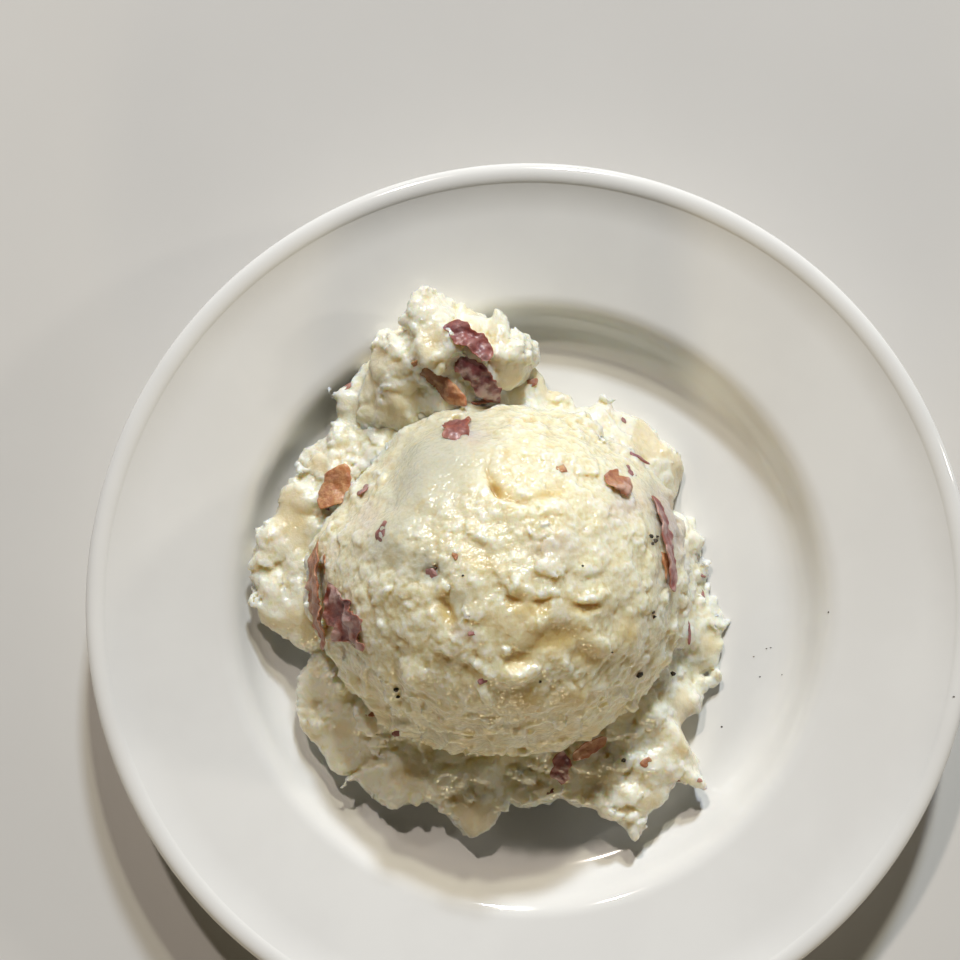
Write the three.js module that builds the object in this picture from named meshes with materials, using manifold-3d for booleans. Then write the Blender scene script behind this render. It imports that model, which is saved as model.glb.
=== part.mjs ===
// Mashed potato side: one scoop of skin-on mashed potato, pressed into a dome, standing on a
// ragged bed of mash in the well of a round white plate with a wide plain rim.
//
// Millimetres, +Z up. The origin is the middle of the plate's foot, on the surface it stands on.
// +Y points from the middle of the plate towards the high lump of mash beside the scoop.

import * as THREE from "three";
import { mergeVertices } from "three/addons/utils/BufferGeometryUtils.js";
import Module from "manifold-3d";

const wasm = await Module();
wasm.setup();

// ---------------------------------------------------------------- driving sizes

const PLATE_RADIUS = 90.5;
const RIM_HEIGHT = 20;
const BEAD_WIDTH = 4.2;
const SHOULDER_RADIUS = 63;
const SHOULDER_HEIGHT = 14.6;
const WELL_RADIUS = 51;
const WELL_HEIGHT = 5.5;
const FOOT_RADIUS = 47;
const FOOT_WIDTH = 5;
const FOOT_HEIGHT = 2.4;
const CHINA_THICKNESS = 4.1;
const PLATE_SEGMENTS = 56;
const CURVE_STEPS = 3;

// The scoop: half sizes and middle of its ellipsoid, whose lower part is inside the bed.
const SCOOP_HALF_SIZES = new THREE.Vector3(37.4, 35.4, 37);
const SCOOP_CENTRE = new THREE.Vector3(-6, 5.9, 15.5);
const SCOOP_DETAIL = 8;

// The bed of mash under and round the scoop: its axis, least reach from there, rounding of its
// outer edge, depth of the notch between two lobes, and the angle over which heights blend.
const BED_AXIS = new THREE.Vector3(-4.8, 6, 0);
const BED_RADIUS = 38.5;
const BED_EDGE = 6;
const LOBE_NOTCH = 3.6;
const HEIGHT_BLEND = 7;
const BED_BEARINGS = 84;
const BED_ROWS = 12;

// Lobes of the bed's edge, counter-clockwise round the bed's axis. Each row is: bearing in
// degrees from +X, reach from the axis, half width, top and underside above the well floor.
const LOBES = [
  [4, 41, 7, 11, 2],
  [29, 43, 5, 13, 3],
  [43, 44.4, 5.5, 14, 3],
  [57, 43.4, 6.5, 14, 3],
  [75, 42, 6, 14, 4],
  [88, 49.5, 5.5, 15, 5],
  [100, 54, 7, 16, 6],
  [112, 55.5, 7, 16, 6],
  [125, 54.6, 6, 16, 5],
  [135, 51, 5.5, 15, 4],
  [149, 47.4, 6.5, 15, 4],
  [163, 50.8, 6.5, 14, 4],
  [180, 53.6, 7, 13, 5],
  [192, 51.6, 5.5, 12, 5],
  [211, 51.4, 5, 11, 4],
  [222, 54, 5.5, 12, 4],
  [232, 52.4, 4.5, 12, 4],
  [242, 54.4, 6, 12, 5],
  [254, 51.6, 5, 12, 5],
  [262, 53.4, 4.5, 13, 6],
  [274, 48.6, 5.5, 12, 5],
  [286, 50.4, 5.5, 12, 4],
  [297, 58.4, 5, 12, 4],
  [306, 55.4, 4.5, 11, 4],
  [315, 57.4, 3.6, 10, 4],
  [329, 47.4, 5.5, 12, 3],
  [341, 46.8, 5.5, 13, 3],
];

// The high lump of mash beside the scoop, as mounds that run into each other. Each row is:
// bearing and distance from the bed's axis, height of the middle above the well floor, half
// length outwards, half width and half height.
const MOUNDS = [
  [105, 47.5, 13, 9.5, 12, 12.5],
  [91, 44.5, 13, 7, 7, 10],
  [106, 53.5, 18, 6, 6, 6.5],
  [116, 48, 13, 8.5, 7, 9],
  [92, 50, 19, 4.5, 2.6, 3.2],
];
const MOUND_DETAIL = 2;

// Relief of the mash: height of its lumps and the distance from one to the next.
const LUMP_HEIGHT = 0.9;
const LUMP_SPACING = 8;

const SKIN_THICKNESS = 0.9;
const SKIN_PROUD = 0.3;
const SKIN_ROWS = 6;
const SKIN_COLUMNS = 3;
const SEAT_GAP = 0.3;

// Pieces of potato skin pressed into the scoop. Angles in degrees: bearing round the scoop's
// axis, tilt down from its top, turn of the long side from level. Bend is the radius that the
// piece curls to, negative where its ends curl up.
const SCOOP_SKINS = [
  { name: "skin_scoop_knob", bearing: 105, tilt: 63, turn: 70, long: 7.5, wide: 5, bend: 6 },
  { name: "skin_scoop_edge", bearing: 98, tilt: 80, turn: 0, long: 9, wide: 2.6, bend: 30 },
  { name: "skin_left_strip", bearing: 184, tilt: 84, turn: 0, long: 17, wide: 4, bend: 34 },
  { name: "skin_left_patch", bearing: 193, tilt: 57, turn: 10, long: 11, wide: 9, bend: 24 },
  { name: "skin_right_strip", bearing: 14, tilt: 64, turn: -8, long: 17, wide: 3.6, bend: 36 },
  { name: "skin_scoop_brown", bearing: 42, tilt: 55, turn: 20, long: 5.8, wide: 4.6, bend: 12 },
];

// Pieces of skin in the bed: bearing and distance from the bed's axis, height above the foot,
// the bearing and tilt that the face looks to, and the turn of the long side from level.
const BED_SKINS = [
  {
    name: "skin_lump_purple",
    bearing: 99, distance: 48.2, height: 31.6, faceBearing: 60, faceTilt: 20,
    turn: -10, long: 10, wide: 5.5, bend: 11,
  },
  {
    name: "skin_lump_strip",
    bearing: 98, distance: 40.4, height: 28.2, faceBearing: 255, faceTilt: 38,
    turn: -35, long: 12, wide: 4.6, bend: 9,
  },
  {
    name: "skin_lump_brown",
    bearing: 109, distance: 41.6, height: 26.5, faceBearing: 235, faceTilt: 40,
    turn: -12, long: 11, wide: 4.6, bend: -14,
  },
  {
    name: "skin_left_upper",
    bearing: 152, distance: 38.5, height: 20, faceBearing: 150, faceTilt: 30,
    turn: 20, long: 9, wide: 7, bend: -8,
  },
  {
    name: "skin_bottom_brown",
    bearing: 296, distance: 38.6, height: 18, faceBearing: 296, faceTilt: 28,
    turn: 4, long: 7, wide: 3.4, bend: 16,
  },
  {
    name: "skin_bottom_purple",
    bearing: 286, distance: 40.5, height: 17.6, faceBearing: 290, faceTilt: 22,
    turn: 62, long: 6, wide: 3.6, bend: 10,
  },
];

// ---------------------------------------------------------------- materials

const chinaGlaze = new THREE.MeshStandardMaterial({ color: 0xe2e0d9, roughness: 0.12, metalness: 0 });
const mashFlesh = new THREE.MeshStandardMaterial({ color: 0xe6dcb4, roughness: 0.45, metalness: 0 });
const redSkin = new THREE.MeshStandardMaterial({ color: 0x7c3b40, roughness: 0.4, metalness: 0 });
const brownSkin = new THREE.MeshStandardMaterial({ color: 0xa8693f, roughness: 0.4, metalness: 0 });

// ---------------------------------------------------------------- helpers

const radians = THREE.MathUtils.degToRad;
const UP = new THREE.Vector3(0, 0, 1);

// A level direction at a bearing in degrees.
function levelDirection(bearing) {
  return new THREE.Vector3(Math.cos(radians(bearing)), Math.sin(radians(bearing)), 0);
}

// A repeatable value from -1 to 1 for one corner of the lattice.
function cornerValue(i, j, k) {
  let h = Math.imul(i, 374761393) + Math.imul(j, 668265263) + Math.imul(k, 1274126177);
  h = Math.imul(h ^ (h >>> 13), 1103515245);
  h ^= h >>> 16;
  return ((h >>> 0) / 4294967295) * 2 - 1;
}

// Smooth noise from -1 to 1: corner values of the unit lattice, blended across each cell.
function smoothNoise(x, y, z) {
  const [i, j, k] = [Math.floor(x), Math.floor(y), Math.floor(z)];
  const [a, b, c] = [x - i, y - j, z - k].map((t) => t * t * (3 - 2 * t));
  const mix = THREE.MathUtils.lerp;
  const edge = (dj, dk) => mix(cornerValue(i, j + dj, k + dk), cornerValue(i + 1, j + dj, k + dk), a);
  return mix(mix(edge(0, 0), edge(1, 0), b), mix(edge(0, 1), edge(1, 1), b), c);
}

// A geometry without seams as a solid.
function solidOf(geometry) {
  const bare = geometry.clone();
  bare.deleteAttribute("normal");
  bare.deleteAttribute("uv");
  const merged = mergeVertices(bare, 1e-4);
  return new wasm.Manifold(
    new wasm.Mesh({
      numProp: 3,
      vertProperties: merged.attributes.position.array,
      triVerts: new Uint32Array(merged.index.array),
    }),
  );
}

// A solid as a flat-shaded geometry.
function geometryOf(solid) {
  const mesh = solid.getMesh();
  const geometry = new THREE.BufferGeometry();
  geometry.setAttribute("position", new THREE.BufferAttribute(new Float32Array(mesh.vertProperties), 3));
  geometry.setIndex(new THREE.BufferAttribute(new Uint32Array(mesh.triVerts), 1));
  const flat = geometry.toNonIndexed();
  flat.computeVertexNormals();
  return flat;
}

function namedMesh(name, geometry, material) {
  const mesh = new THREE.Mesh(geometry, material);
  mesh.name = name;
  return mesh;
}

// A profile of radius and height, turned round +Z.
function turned(path, segments) {
  const geometry = new THREE.LatheGeometry(path.getPoints(CURVE_STEPS), segments);
  geometry.rotateX(Math.PI / 2);
  return geometry;
}

// ---------------------------------------------------------------- plate

// The plate's upper side, from the inner side of the edge bead in to the axis, raised by lift.
function traceTop(path, lift) {
  path.lineTo(SHOULDER_RADIUS + 1.5, SHOULDER_HEIGHT + 0.6 + lift);
  path.bezierCurveTo(
    SHOULDER_RADIUS - 0.8, SHOULDER_HEIGHT + 0.2 + lift,
    SHOULDER_RADIUS - 2.2, SHOULDER_HEIGHT - 1 + lift,
    SHOULDER_RADIUS - 3.5, SHOULDER_HEIGHT - 3.2 + lift,
  );
  path.bezierCurveTo(
    SHOULDER_RADIUS - 5, SHOULDER_HEIGHT - 5.8 + lift,
    WELL_RADIUS + 5, WELL_HEIGHT + lift,
    WELL_RADIUS - 0.5, WELL_HEIGHT + lift,
  );
  path.lineTo(0, WELL_HEIGHT + lift);
}

function plateGeometry() {
  const footInner = FOOT_RADIUS - FOOT_WIDTH;
  const under = WELL_HEIGHT - CHINA_THICKNESS;
  const beadMiddle = PLATE_RADIUS - BEAD_WIDTH / 2;
  const path = new THREE.Path();
  path.moveTo(0, FOOT_HEIGHT);
  path.lineTo(footInner - 0.8, FOOT_HEIGHT);
  path.lineTo(footInner + 0.6, 0);
  path.lineTo(FOOT_RADIUS - 0.9, 0);
  path.lineTo(FOOT_RADIUS, under + 0.4);
  path.bezierCurveTo(
    FOOT_RADIUS + 8, under + 1,
    SHOULDER_RADIUS - 6, SHOULDER_HEIGHT - 6.5,
    SHOULDER_RADIUS, SHOULDER_HEIGHT - CHINA_THICKNESS,
  );
  path.lineTo(PLATE_RADIUS - 3.5, RIM_HEIGHT - CHINA_THICKNESS - 0.7);
  path.bezierCurveTo(
    PLATE_RADIUS - 0.7, RIM_HEIGHT - CHINA_THICKNESS,
    PLATE_RADIUS, RIM_HEIGHT - 2.6,
    PLATE_RADIUS, RIM_HEIGHT - 1.8,
  );
  path.bezierCurveTo(
    PLATE_RADIUS, RIM_HEIGHT - 0.5,
    PLATE_RADIUS - 1.1, RIM_HEIGHT,
    beadMiddle, RIM_HEIGHT,
  );
  path.quadraticCurveTo(
    beadMiddle - 1, RIM_HEIGHT,
    PLATE_RADIUS - BEAD_WIDTH, RIM_HEIGHT - 0.7,
  );
  traceTop(path, 0);
  return turned(path, PLATE_SEGMENTS);
}

// All the room below the plate's upper side, raised by the seat gap: what mash can't fill.
function plateRoom() {
  const reach = PLATE_RADIUS - BEAD_WIDTH;
  const path = new THREE.Path();
  path.moveTo(0, -RIM_HEIGHT);
  path.lineTo(reach, -RIM_HEIGHT);
  path.lineTo(reach, RIM_HEIGHT - 0.7 + SEAT_GAP);
  traceTop(path, SEAT_GAP);
  return solidOf(turned(path, PLATE_SEGMENTS));
}

// ---------------------------------------------------------------- mash

// Pushes a point out along a direction by the relief at its place.
function addLumps(point, outward) {
  const lump = smoothNoise(point.x / LUMP_SPACING, point.y / LUMP_SPACING, point.z / LUMP_SPACING);
  return point.addScaledVector(outward, LUMP_HEIGHT * lump);
}

// A closed surface: each point of a unit sphere goes where the function puts its direction.
function shapedSphere(geometry, placeOf) {
  const places = geometry.attributes.position;
  const direction = new THREE.Vector3();
  for (let n = 0; n < places.count; n += 1) {
    direction.fromBufferAttribute(places, n).normalize();
    const { x, y, z } = placeOf(direction);
    places.setXYZ(n, x, y, z);
  }
  return solidOf(geometry);
}

// An ellipsoid of mash with its long side along a bearing and lumps in its surface.
function mashBlob(centre, halfSizes, bearing, detail) {
  return shapedSphere(new THREE.IcosahedronGeometry(1, detail), (direction) => {
    const outward = direction.clone().applyAxisAngle(UP, radians(bearing));
    const point = direction.clone().multiply(halfSizes).applyAxisAngle(UP, radians(bearing));
    return addLumps(point.add(centre), outward);
  });
}

function scoopDome() {
  return mashBlob(SCOOP_CENTRE, SCOOP_HALF_SIZES, 0, SCOOP_DETAIL);
}

function mound([bearing, distance, height, halfLength, halfWidth, halfHeight]) {
  const centre = levelDirection(bearing).multiplyScalar(distance);
  centre.add(BED_AXIS).setZ(WELL_HEIGHT + height);
  return mashBlob(centre, new THREE.Vector3(halfLength, halfWidth, halfHeight), bearing, MOUND_DETAIL);
}

// The angle from one bearing to another, from -180 to 180.
function bearingGap(from, to) {
  return THREE.MathUtils.euclideanModulo(to - from + 180, 360) - 180;
}

// The bed's edge at a bearing: the reach is that of the lobe that stands out furthest there, and
// the heights are the neighbouring lobes' heights, weighted by how near they are.
function bedEdge(bearing) {
  let reach = BED_RADIUS;
  let weights = 0;
  let top = 0;
  let underside = 0;
  for (const [lobeBearing, lobeReach, halfWidth, lobeTop, lobeUnderside] of LOBES) {
    const gap = bearingGap(lobeBearing, bearing);
    const aside = lobeReach * radians(gap);
    reach = Math.max(reach, lobeReach - LOBE_NOTCH * (aside / halfWidth) ** 2);
    const weight = Math.exp(-((gap / HEIGHT_BLEND) ** 2)) + 1e-6;
    weights += weight;
    top += weight * lobeTop;
    underside += weight * lobeUnderside;
  }
  return { reach, top: top / weights, underside: underside / weights };
}

// The bed: a profile carried round its axis. From the axis it runs out level along the
// top, round the edge in a half ellipse, and back down to the well floor.
function bedSolid() {
  const ring = new THREE.SphereGeometry(1, BED_BEARINGS, BED_ROWS).rotateX(Math.PI / 2);
  return shapedSphere(ring, (direction) => {
    const level = new THREE.Vector3(direction.x, direction.y, 0);
    const atAxis = level.length() < 1e-6;
    level.normalize();
    const bearing = atAxis ? 0 : THREE.MathUtils.radToDeg(Math.atan2(level.y, level.x));
    const { reach, top, underside } = bedEdge(bearing);
    const slope = Math.asin(THREE.MathUtils.clamp(direction.z, -1, 1)) / Math.PI;
    const flat = reach - BED_EDGE;
    let radius = flat + BED_EDGE * Math.cos(slope * 2 * Math.PI);
    let height = (top + underside) / 2 + ((top - underside) / 2) * Math.sin(slope * 2 * Math.PI);
    if (Math.abs(slope) > 0.25) {
      const inward = Math.min(1, (Math.abs(slope) - 0.25) * 4);
      radius = atAxis ? 0 : flat * (1 - inward);
      height = slope > 0 ? top : underside * Math.max(0, 1 - 3 * inward);
    }
    const point = level.clone().multiplyScalar(radius).add(BED_AXIS).setZ(WELL_HEIGHT + height);
    return atAxis ? point : addLumps(point, level);
  });
}

// ---------------------------------------------------------------- skins

// A curled piece of skin, lying on its own XY plane with its outer face up: a grid over its
// length and width, narrowed towards both ends, bent over a cylinder along its length, and
// closed by a second grid below and a band round the edge.
function skinGeometry({ long, wide, bend }, grow) {
  const halfLong = long / 2 + grow;
  const halfWide = wide / 2 + grow;
  const halfThick = SKIN_THICKNESS / 2 + grow;
  const columns = SKIN_COLUMNS + 1;
  const places = [];
  for (const side of [halfThick, -halfThick]) {
    for (let row = 0; row <= SKIN_ROWS; row += 1) {
      const along = (row / SKIN_ROWS) * 2 - 1;
      const narrow = 1 - 0.55 * Math.abs(along) ** 3 + 0.08 * Math.sin(9 * along + long);
      for (let column = 0; column <= SKIN_COLUMNS; column += 1) {
        const across = (column / SKIN_COLUMNS) * 2 - 1;
        const angle = (along * halfLong) / bend;
        const radius = bend + side;
        places.push(radius * Math.sin(angle), halfWide * across * narrow, radius * Math.cos(angle) - bend);
      }
    }
  }
  const lower = (SKIN_ROWS + 1) * columns;
  const faces = [];
  const quad = (a, b, c, d) => faces.push(a, b, c, a, c, d);
  for (let row = 0; row < SKIN_ROWS; row += 1) {
    for (let column = 0; column < SKIN_COLUMNS; column += 1) {
      const a = row * columns + column;
      quad(a, a + columns, a + columns + 1, a + 1);
      quad(lower + a, lower + a + 1, lower + a + columns + 1, lower + a + columns);
    }
    const first = row * columns;
    const last = first + SKIN_COLUMNS;
    quad(first, lower + first, lower + first + columns, first + columns);
    quad(last, last + columns, lower + last + columns, lower + last);
  }
  for (let column = 0; column < SKIN_COLUMNS; column += 1) {
    const end = SKIN_ROWS * columns + column;
    quad(column, column + 1, lower + column + 1, lower + column);
    quad(end, lower + end, lower + end + 1, end + 1);
  }
  const geometry = new THREE.BufferGeometry();
  geometry.setAttribute("position", new THREE.BufferAttribute(new Float32Array(places), 3));
  geometry.setIndex(faces);
  return geometry;
}

// The place of a piece: +Z of the piece looks to the bearing and tilt, and its length runs level,
// then turns about that face.
function skinPlacement(point, faceBearing, faceTilt, turn) {
  const level = levelDirection(faceBearing + 90);
  const facing = levelDirection(faceBearing).multiplyScalar(Math.sin(radians(faceTilt)));
  facing.z = Math.cos(radians(faceTilt));
  const uphill = new THREE.Vector3().crossVectors(facing, level);
  const placement = new THREE.Matrix4().makeBasis(level, uphill, facing);
  placement.setPosition(point);
  return placement.multiply(new THREE.Matrix4().makeRotationZ(radians(turn)));
}

function scoopSkinPlacement({ bearing, tilt, turn }) {
  const facing = levelDirection(bearing).multiplyScalar(Math.sin(radians(tilt)));
  facing.z = Math.cos(radians(tilt));
  const point = facing.clone().multiply(SCOOP_HALF_SIZES).addScaledVector(facing, SKIN_PROUD);
  return skinPlacement(point.add(SCOOP_CENTRE), bearing, tilt, turn);
}

function bedSkinPlacement({ bearing, distance, height, faceBearing, faceTilt, turn }) {
  const point = levelDirection(bearing).multiplyScalar(distance).add(BED_AXIS).setZ(height);
  return skinPlacement(point, faceBearing, faceTilt, turn);
}

const skins = [
  ...SCOOP_SKINS.map((skin) => ({ ...skin, placement: scoopSkinPlacement(skin) })),
  ...BED_SKINS.map((skin) => ({ ...skin, placement: bedSkinPlacement(skin) })),
];

const BROWN_SKINS = ["skin_lump_brown", "skin_left_upper", "skin_bottom_brown", "skin_scoop_brown"];

// ---------------------------------------------------------------- assembly

// Scoop, bed and mounds joined, seated on the plate, with a pocket for each piece of skin. Crumbs
// that a pocket cuts loose are dropped.
function mashGeometry() {
  let mash = scoopDome().add(bedSolid());
  for (const row of MOUNDS) {
    mash = mash.add(mound(row));
  }
  mash = mash.subtract(plateRoom());
  for (const skin of skins) {
    const pocket = skinGeometry(skin, SEAT_GAP).applyMatrix4(skin.placement);
    mash = mash.subtract(solidOf(pocket));
  }
  const [largest] = mash.decompose().sort((a, b) => b.volume() - a.volume());
  return geometryOf(largest);
}

const side = new THREE.Group();
side.add(namedMesh("plate", plateGeometry(), chinaGlaze));
side.add(namedMesh("mash", mashGeometry(), mashFlesh));
for (const skin of skins) {
  const material = BROWN_SKINS.includes(skin.name) ? brownSkin : redSkin;
  side.add(namedMesh(skin.name, skinGeometry(skin, 0).applyMatrix4(skin.placement), material));
}

export default side;
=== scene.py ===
"""Skin-on mashed potato, one pressed scoop on a ragged bed, on a small white rimmed plate.

Shapes are worked out in millimetres as whole numpy arrays, and go into the meshes in metres.
"""
import math

import bpy
import numpy as np
from bpy.props import FloatProperty, FloatVectorProperty, PointerProperty
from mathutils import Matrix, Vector
from mathutils.bvhtree import BVHTree


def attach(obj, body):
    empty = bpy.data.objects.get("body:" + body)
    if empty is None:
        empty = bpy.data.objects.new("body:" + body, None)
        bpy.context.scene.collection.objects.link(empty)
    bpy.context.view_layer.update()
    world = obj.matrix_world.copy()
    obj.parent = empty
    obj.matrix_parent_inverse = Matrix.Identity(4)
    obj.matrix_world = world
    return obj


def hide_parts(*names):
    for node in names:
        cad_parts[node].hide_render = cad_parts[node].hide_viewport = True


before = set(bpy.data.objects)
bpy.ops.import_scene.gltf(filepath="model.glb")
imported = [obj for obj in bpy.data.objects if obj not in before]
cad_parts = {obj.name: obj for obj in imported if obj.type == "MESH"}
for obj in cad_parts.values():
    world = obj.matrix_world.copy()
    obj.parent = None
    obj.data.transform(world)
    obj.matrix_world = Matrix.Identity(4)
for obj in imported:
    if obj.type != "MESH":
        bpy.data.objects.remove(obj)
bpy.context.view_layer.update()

bl_info = {
    "name": "Mashed Potato Side",
    "version": (1, 0, 0),
    "blender": (4, 5, 0),
    "location": "3D View > Sidebar > Mash",
    "description": "A scoop of skin-on mashed potato on a white plate",
    "category": "Add Mesh",
}

MM = 0.001
UP = np.array((0.0, 0.0, 1.0))
QUICK_SHARE = 1.0
# The stage, in metres: half the floor's size, how far the lamps are and where they aim.
FLOOR_HALF = 6.0
LAMP_DISTANCE = 3.0
LAMP_AIM = (0, 0, 0.02)
# The floor's two tints, the room's faint light and the tint it shows where nothing is in front.
FLOOR_TINTS = ((0.62, 0.61, 0.59), (0.66, 0.65, 0.63))
ROOM_LIGHT = (1.0, 0.80, 0.50, 1)
ROOM_STRENGTH = 0.004
ROOM_TINT = (0.62, 0.615, 0.60, 1)
# The lamps: name, bearing, elevation, size in metres, watts and colour.
LAMPS = (
    ("key_soft", 82, 35, 0.24, 58.0, (0.80, 0.88, 1.0)),
    ("key_low", 84, 41.5, 0.12, 25.0, (1.0, 0.95, 0.74)),
    ("key_steep", 106, 47, 0.12, 32.0, (1.0, 0.88, 0.78)),
    ("side", 15, 24, 0.2, 10.0, (1.0, 0.93, 0.82)),
    ("fill_low", -92, 10, 0.4, 25.0, (1.0, 0.83, 0.54)),
)

# The plate, in mm.
PLATE_RADIUS = 90.5
EDGE_HEIGHT = 18.2
RIM_HEIGHT = 20.0
RIM_CREST_RADIUS = 88.4
SHOULDER_RADIUS = 63.0
SHOULDER_HEIGHT = 14.6
WELL_RADIUS = 50.5
WELL_HEIGHT = 5.5
FOOT_RADIUS = 47.0
FOOT_WIDTH = 5.0
FOOT_HEIGHT = 2.4
CHINA_THICKNESS = 4.1
PLATE_SEGMENTS = 360
CURVE_STEPS = 12

# The scoop: an ellipsoid whose top has been pressed and torn, cut off inside the bed.
SCOOP_HALF_SIZES = np.array((37.4, 35.4, 37.0))
SCOOP_CENTRE = np.array((-6.0, 5.9, 15.5))
SCOOP_CUT = 11.0
# Width of the shingles down the scoop's near side, in mm from above.
LEDGE = 4.2

# The bed: a flat cake with lobes round its edge.
BED_AXIS = np.array((-4.8, 6.0, 0.0))
BED_EDGE = 6.0
BED_HOLE = 24.0
# Its outline: bearing in degrees and reach.
BED_OUTLINE = np.array((
    (1, 44), (5, 42.8), (14, 41), (24, 38.5), (32, 43.8), (44, 43.9), (54, 43.5), (62, 42.5), (68, 39),
    (76, 40), (84, 45), (96, 49), (108, 52), (120, 53), (129, 53), (136, 49.3), (143, 46.8),
    (156, 49.8), (164, 50.6), (174, 52.6), (183, 53.4), (190, 51.5), (196, 48.5), (202, 43.1),
    (208, 49.5), (214, 52.5), (225, 54), (240, 53.4), (250, 51), (255, 51), (261, 53.9), (266, 52.5),
    (271, 47.8), (283, 47.8), (290, 51), (296, 58.8), (302, 57), (308, 55.5), (313, 59), (316, 55.5),
    (318.5, 48.5), (323, 49), (328, 48.5), (333, 45.5), (336, 47), (341, 48.5), (347, 47.5),
    (352, 46.5), (357, 44.5),
), float)
# Bearing, top near the scoop, top at the edge and underside, above the well.
BED_HEIGHTS = np.array((
    (0, 17, 3, -2), (40, 18, 7, -1), (60, 18, 11, 2), (90, 17, 13, 5), (120, 16, 13, 5),
    (150, 15, 12, 4), (190, 14, 11, 3), (230, 12.5, 8.5, 1), (265, 12, 8.5, 1), (298, 12.5, 10.5, 1),
    (318, 14, 11, -1), (335, 16, 4, -2),
), float)

# The high lump: bearing, distance from the bed's axis, middle height above the well,
# half length outwards, half width, half height.
MOUNDS = np.array((
    (105, 47.5, 13, 9.5, 12, 12.5), (91, 44.5, 13, 7, 7, 10), (106, 53.5, 18, 6, 6, 6.5),
    (116, 48, 13, 8.5, 7, 9), (92, 50, 19, 4.5, 2.6, 3.2), (121, 43, 9, 10, 9, 9.5),
    (108, 40, 12, 8, 9, 8),
), float)

# The larger skins: name, seat, sizes (length, width, radius of its bend), shape (ruffle, curl,
# how torn, bow in its own plane, how far it stands out) and looks (how brown, how purple, how
# smeared with mash).
# A seat on the scoop is a bearing, a tilt and a turn. A seat in the bed or the high lump is a
# bearing, distance, height, the bearing and tilt of its face, and a turn.
SCOOP_SKINS = (
    ("skin_scoop_knob", (105, 63, 80), (9, 4.6, 6), (0.9, 0.5, 0.3, 0.0, 0.1), (0.1, 0.1, 0.15)),
    ("skin_scoop_edge", (98, 80, 0), (9, 2.6, 30), (0.4, 0.1, 0.3, 0.5, 1.1), (0.2, 0.2, 0.1)),
    ("skin_left_strip", (185, 72, 4), (17, 7, 34), (0.7, 0.4, 0.3, 0.8, 1.6), (0.6, 0.1, 0.2)),
    ("skin_left_patch", (193, 57, 10), (11, 9, 24), (0.9, 0.7, 0.4, 0.6, 0.1), (0.15, 0.4, 0.5)),
    ("skin_right_strip", (14, 64, -8), (17, 3.6, 36), (0.4, 0.2, 0.4, 0.6, 0.1), (0.1, 0.6, 0.5)),
    ("skin_scoop_brown", (42, 55, 20), (5.8, 4.6, 12), (0.8, 0.2, 0.3, 0.0, 0.1), (0.8, 0.2, 0.5)),
)
LUMP_SKINS = (
    ("skin_lump_purple", (99, 48.2, 31.6, 60, 20, -10), (10, 3.8, 15), (0.8, 0.5, 0.35, -0.6, 0.0),
     (0.05, 0.35, 0.2)),
    ("skin_lump_strip", (98, 40.4, 28.2, 255, 38, -35), (12, 4.6, 10), (0.8, 0.5, 0.3, 1.3, 0.2),
     (0.0, 0.6, 0.8)),
    ("skin_lump_brown", (109, 41.6, 26.5, 235, 40, -12), (11.5, 4.6, -14), (0.3, -0.4, 0.1, -1.4, -0.3),
     (0.9, 0.0, 0.15)),
)
BED_SKINS = (
    ("skin_left_upper", (152, 39.4, 20.2, 150, 24, 20), (7.6, 6.0, -8), (0.35, -0.4, 0.12, 0.0, -0.1),
     (0.95, 0.0, 0.1)),
    ("skin_bottom_brown", (296, 38.6, 18, 296, 28, 4), (7, 2.6, 16), (0.4, 0.3, 0.3, 0.5, -0.1),
     (0.8, 0.2, 0.1)),
    ("skin_bottom_purple", (286, 40.5, 17.6, 290, 22, 62), (6, 3.0, 10), (0.5, 0.3, 0.4, 0.4, -0.1),
     (0.1, 0.5, 0.7)),
)
BROWN_SKINS = ("skin_lump_brown", "skin_left_upper", "skin_bottom_brown", "skin_scoop_brown")
SKIN_THICKNESS = 0.7
SKIN_PROUD = 0.3
# A skin's leaf is this much larger than its seat, and its grid has rows and columns.
SKIN_SPARE = 1.15
SKIN_GRID = (46, 36)
# Its cushion of mash: how far down its middle lies, its half height and what it has to spare.
CUSHION_SUNK = 2.6
CUSHION_HALF = 2.3
CUSHION_SPARE = 0.4
# The flecks: rows and columns, thickness, radius of their bend, shape as that of a skin, how far
# they are pressed in and how smeared with mash.
FLECK_GRID = (16, 14)
FLECK_THICKNESS = 0.6
FLECK_BEND = 9.0
FLECK_SHAPE = (0.35, 0.1, 0.3, 0.0)
FLECK_SUNK = 0.2
FLECK_SMEAR = 0.2
# Small grains: rings and segments, how uneven and how squashed the pepper and the specks are.
GRAIN_GRID = (4, 7)
PEPPER_UNEVEN = 0.6
PEPPER_SQUASH = np.array((1.0, 0.8, 0.7))
SPECK_UNEVEN = 0.5
SPECK_SQUASH = np.array((1.0, 0.7, 0.35))
# Where the search for the mash's top starts, in metres.
SEARCH_HEIGHT = 0.1
# Each kind of piece has noise of its own, by one of these numbers.
SKIN_SALT = 500
FLECK_SALT = 600
PEPPER_SALT = 720
SPECK_SALT = 730

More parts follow.
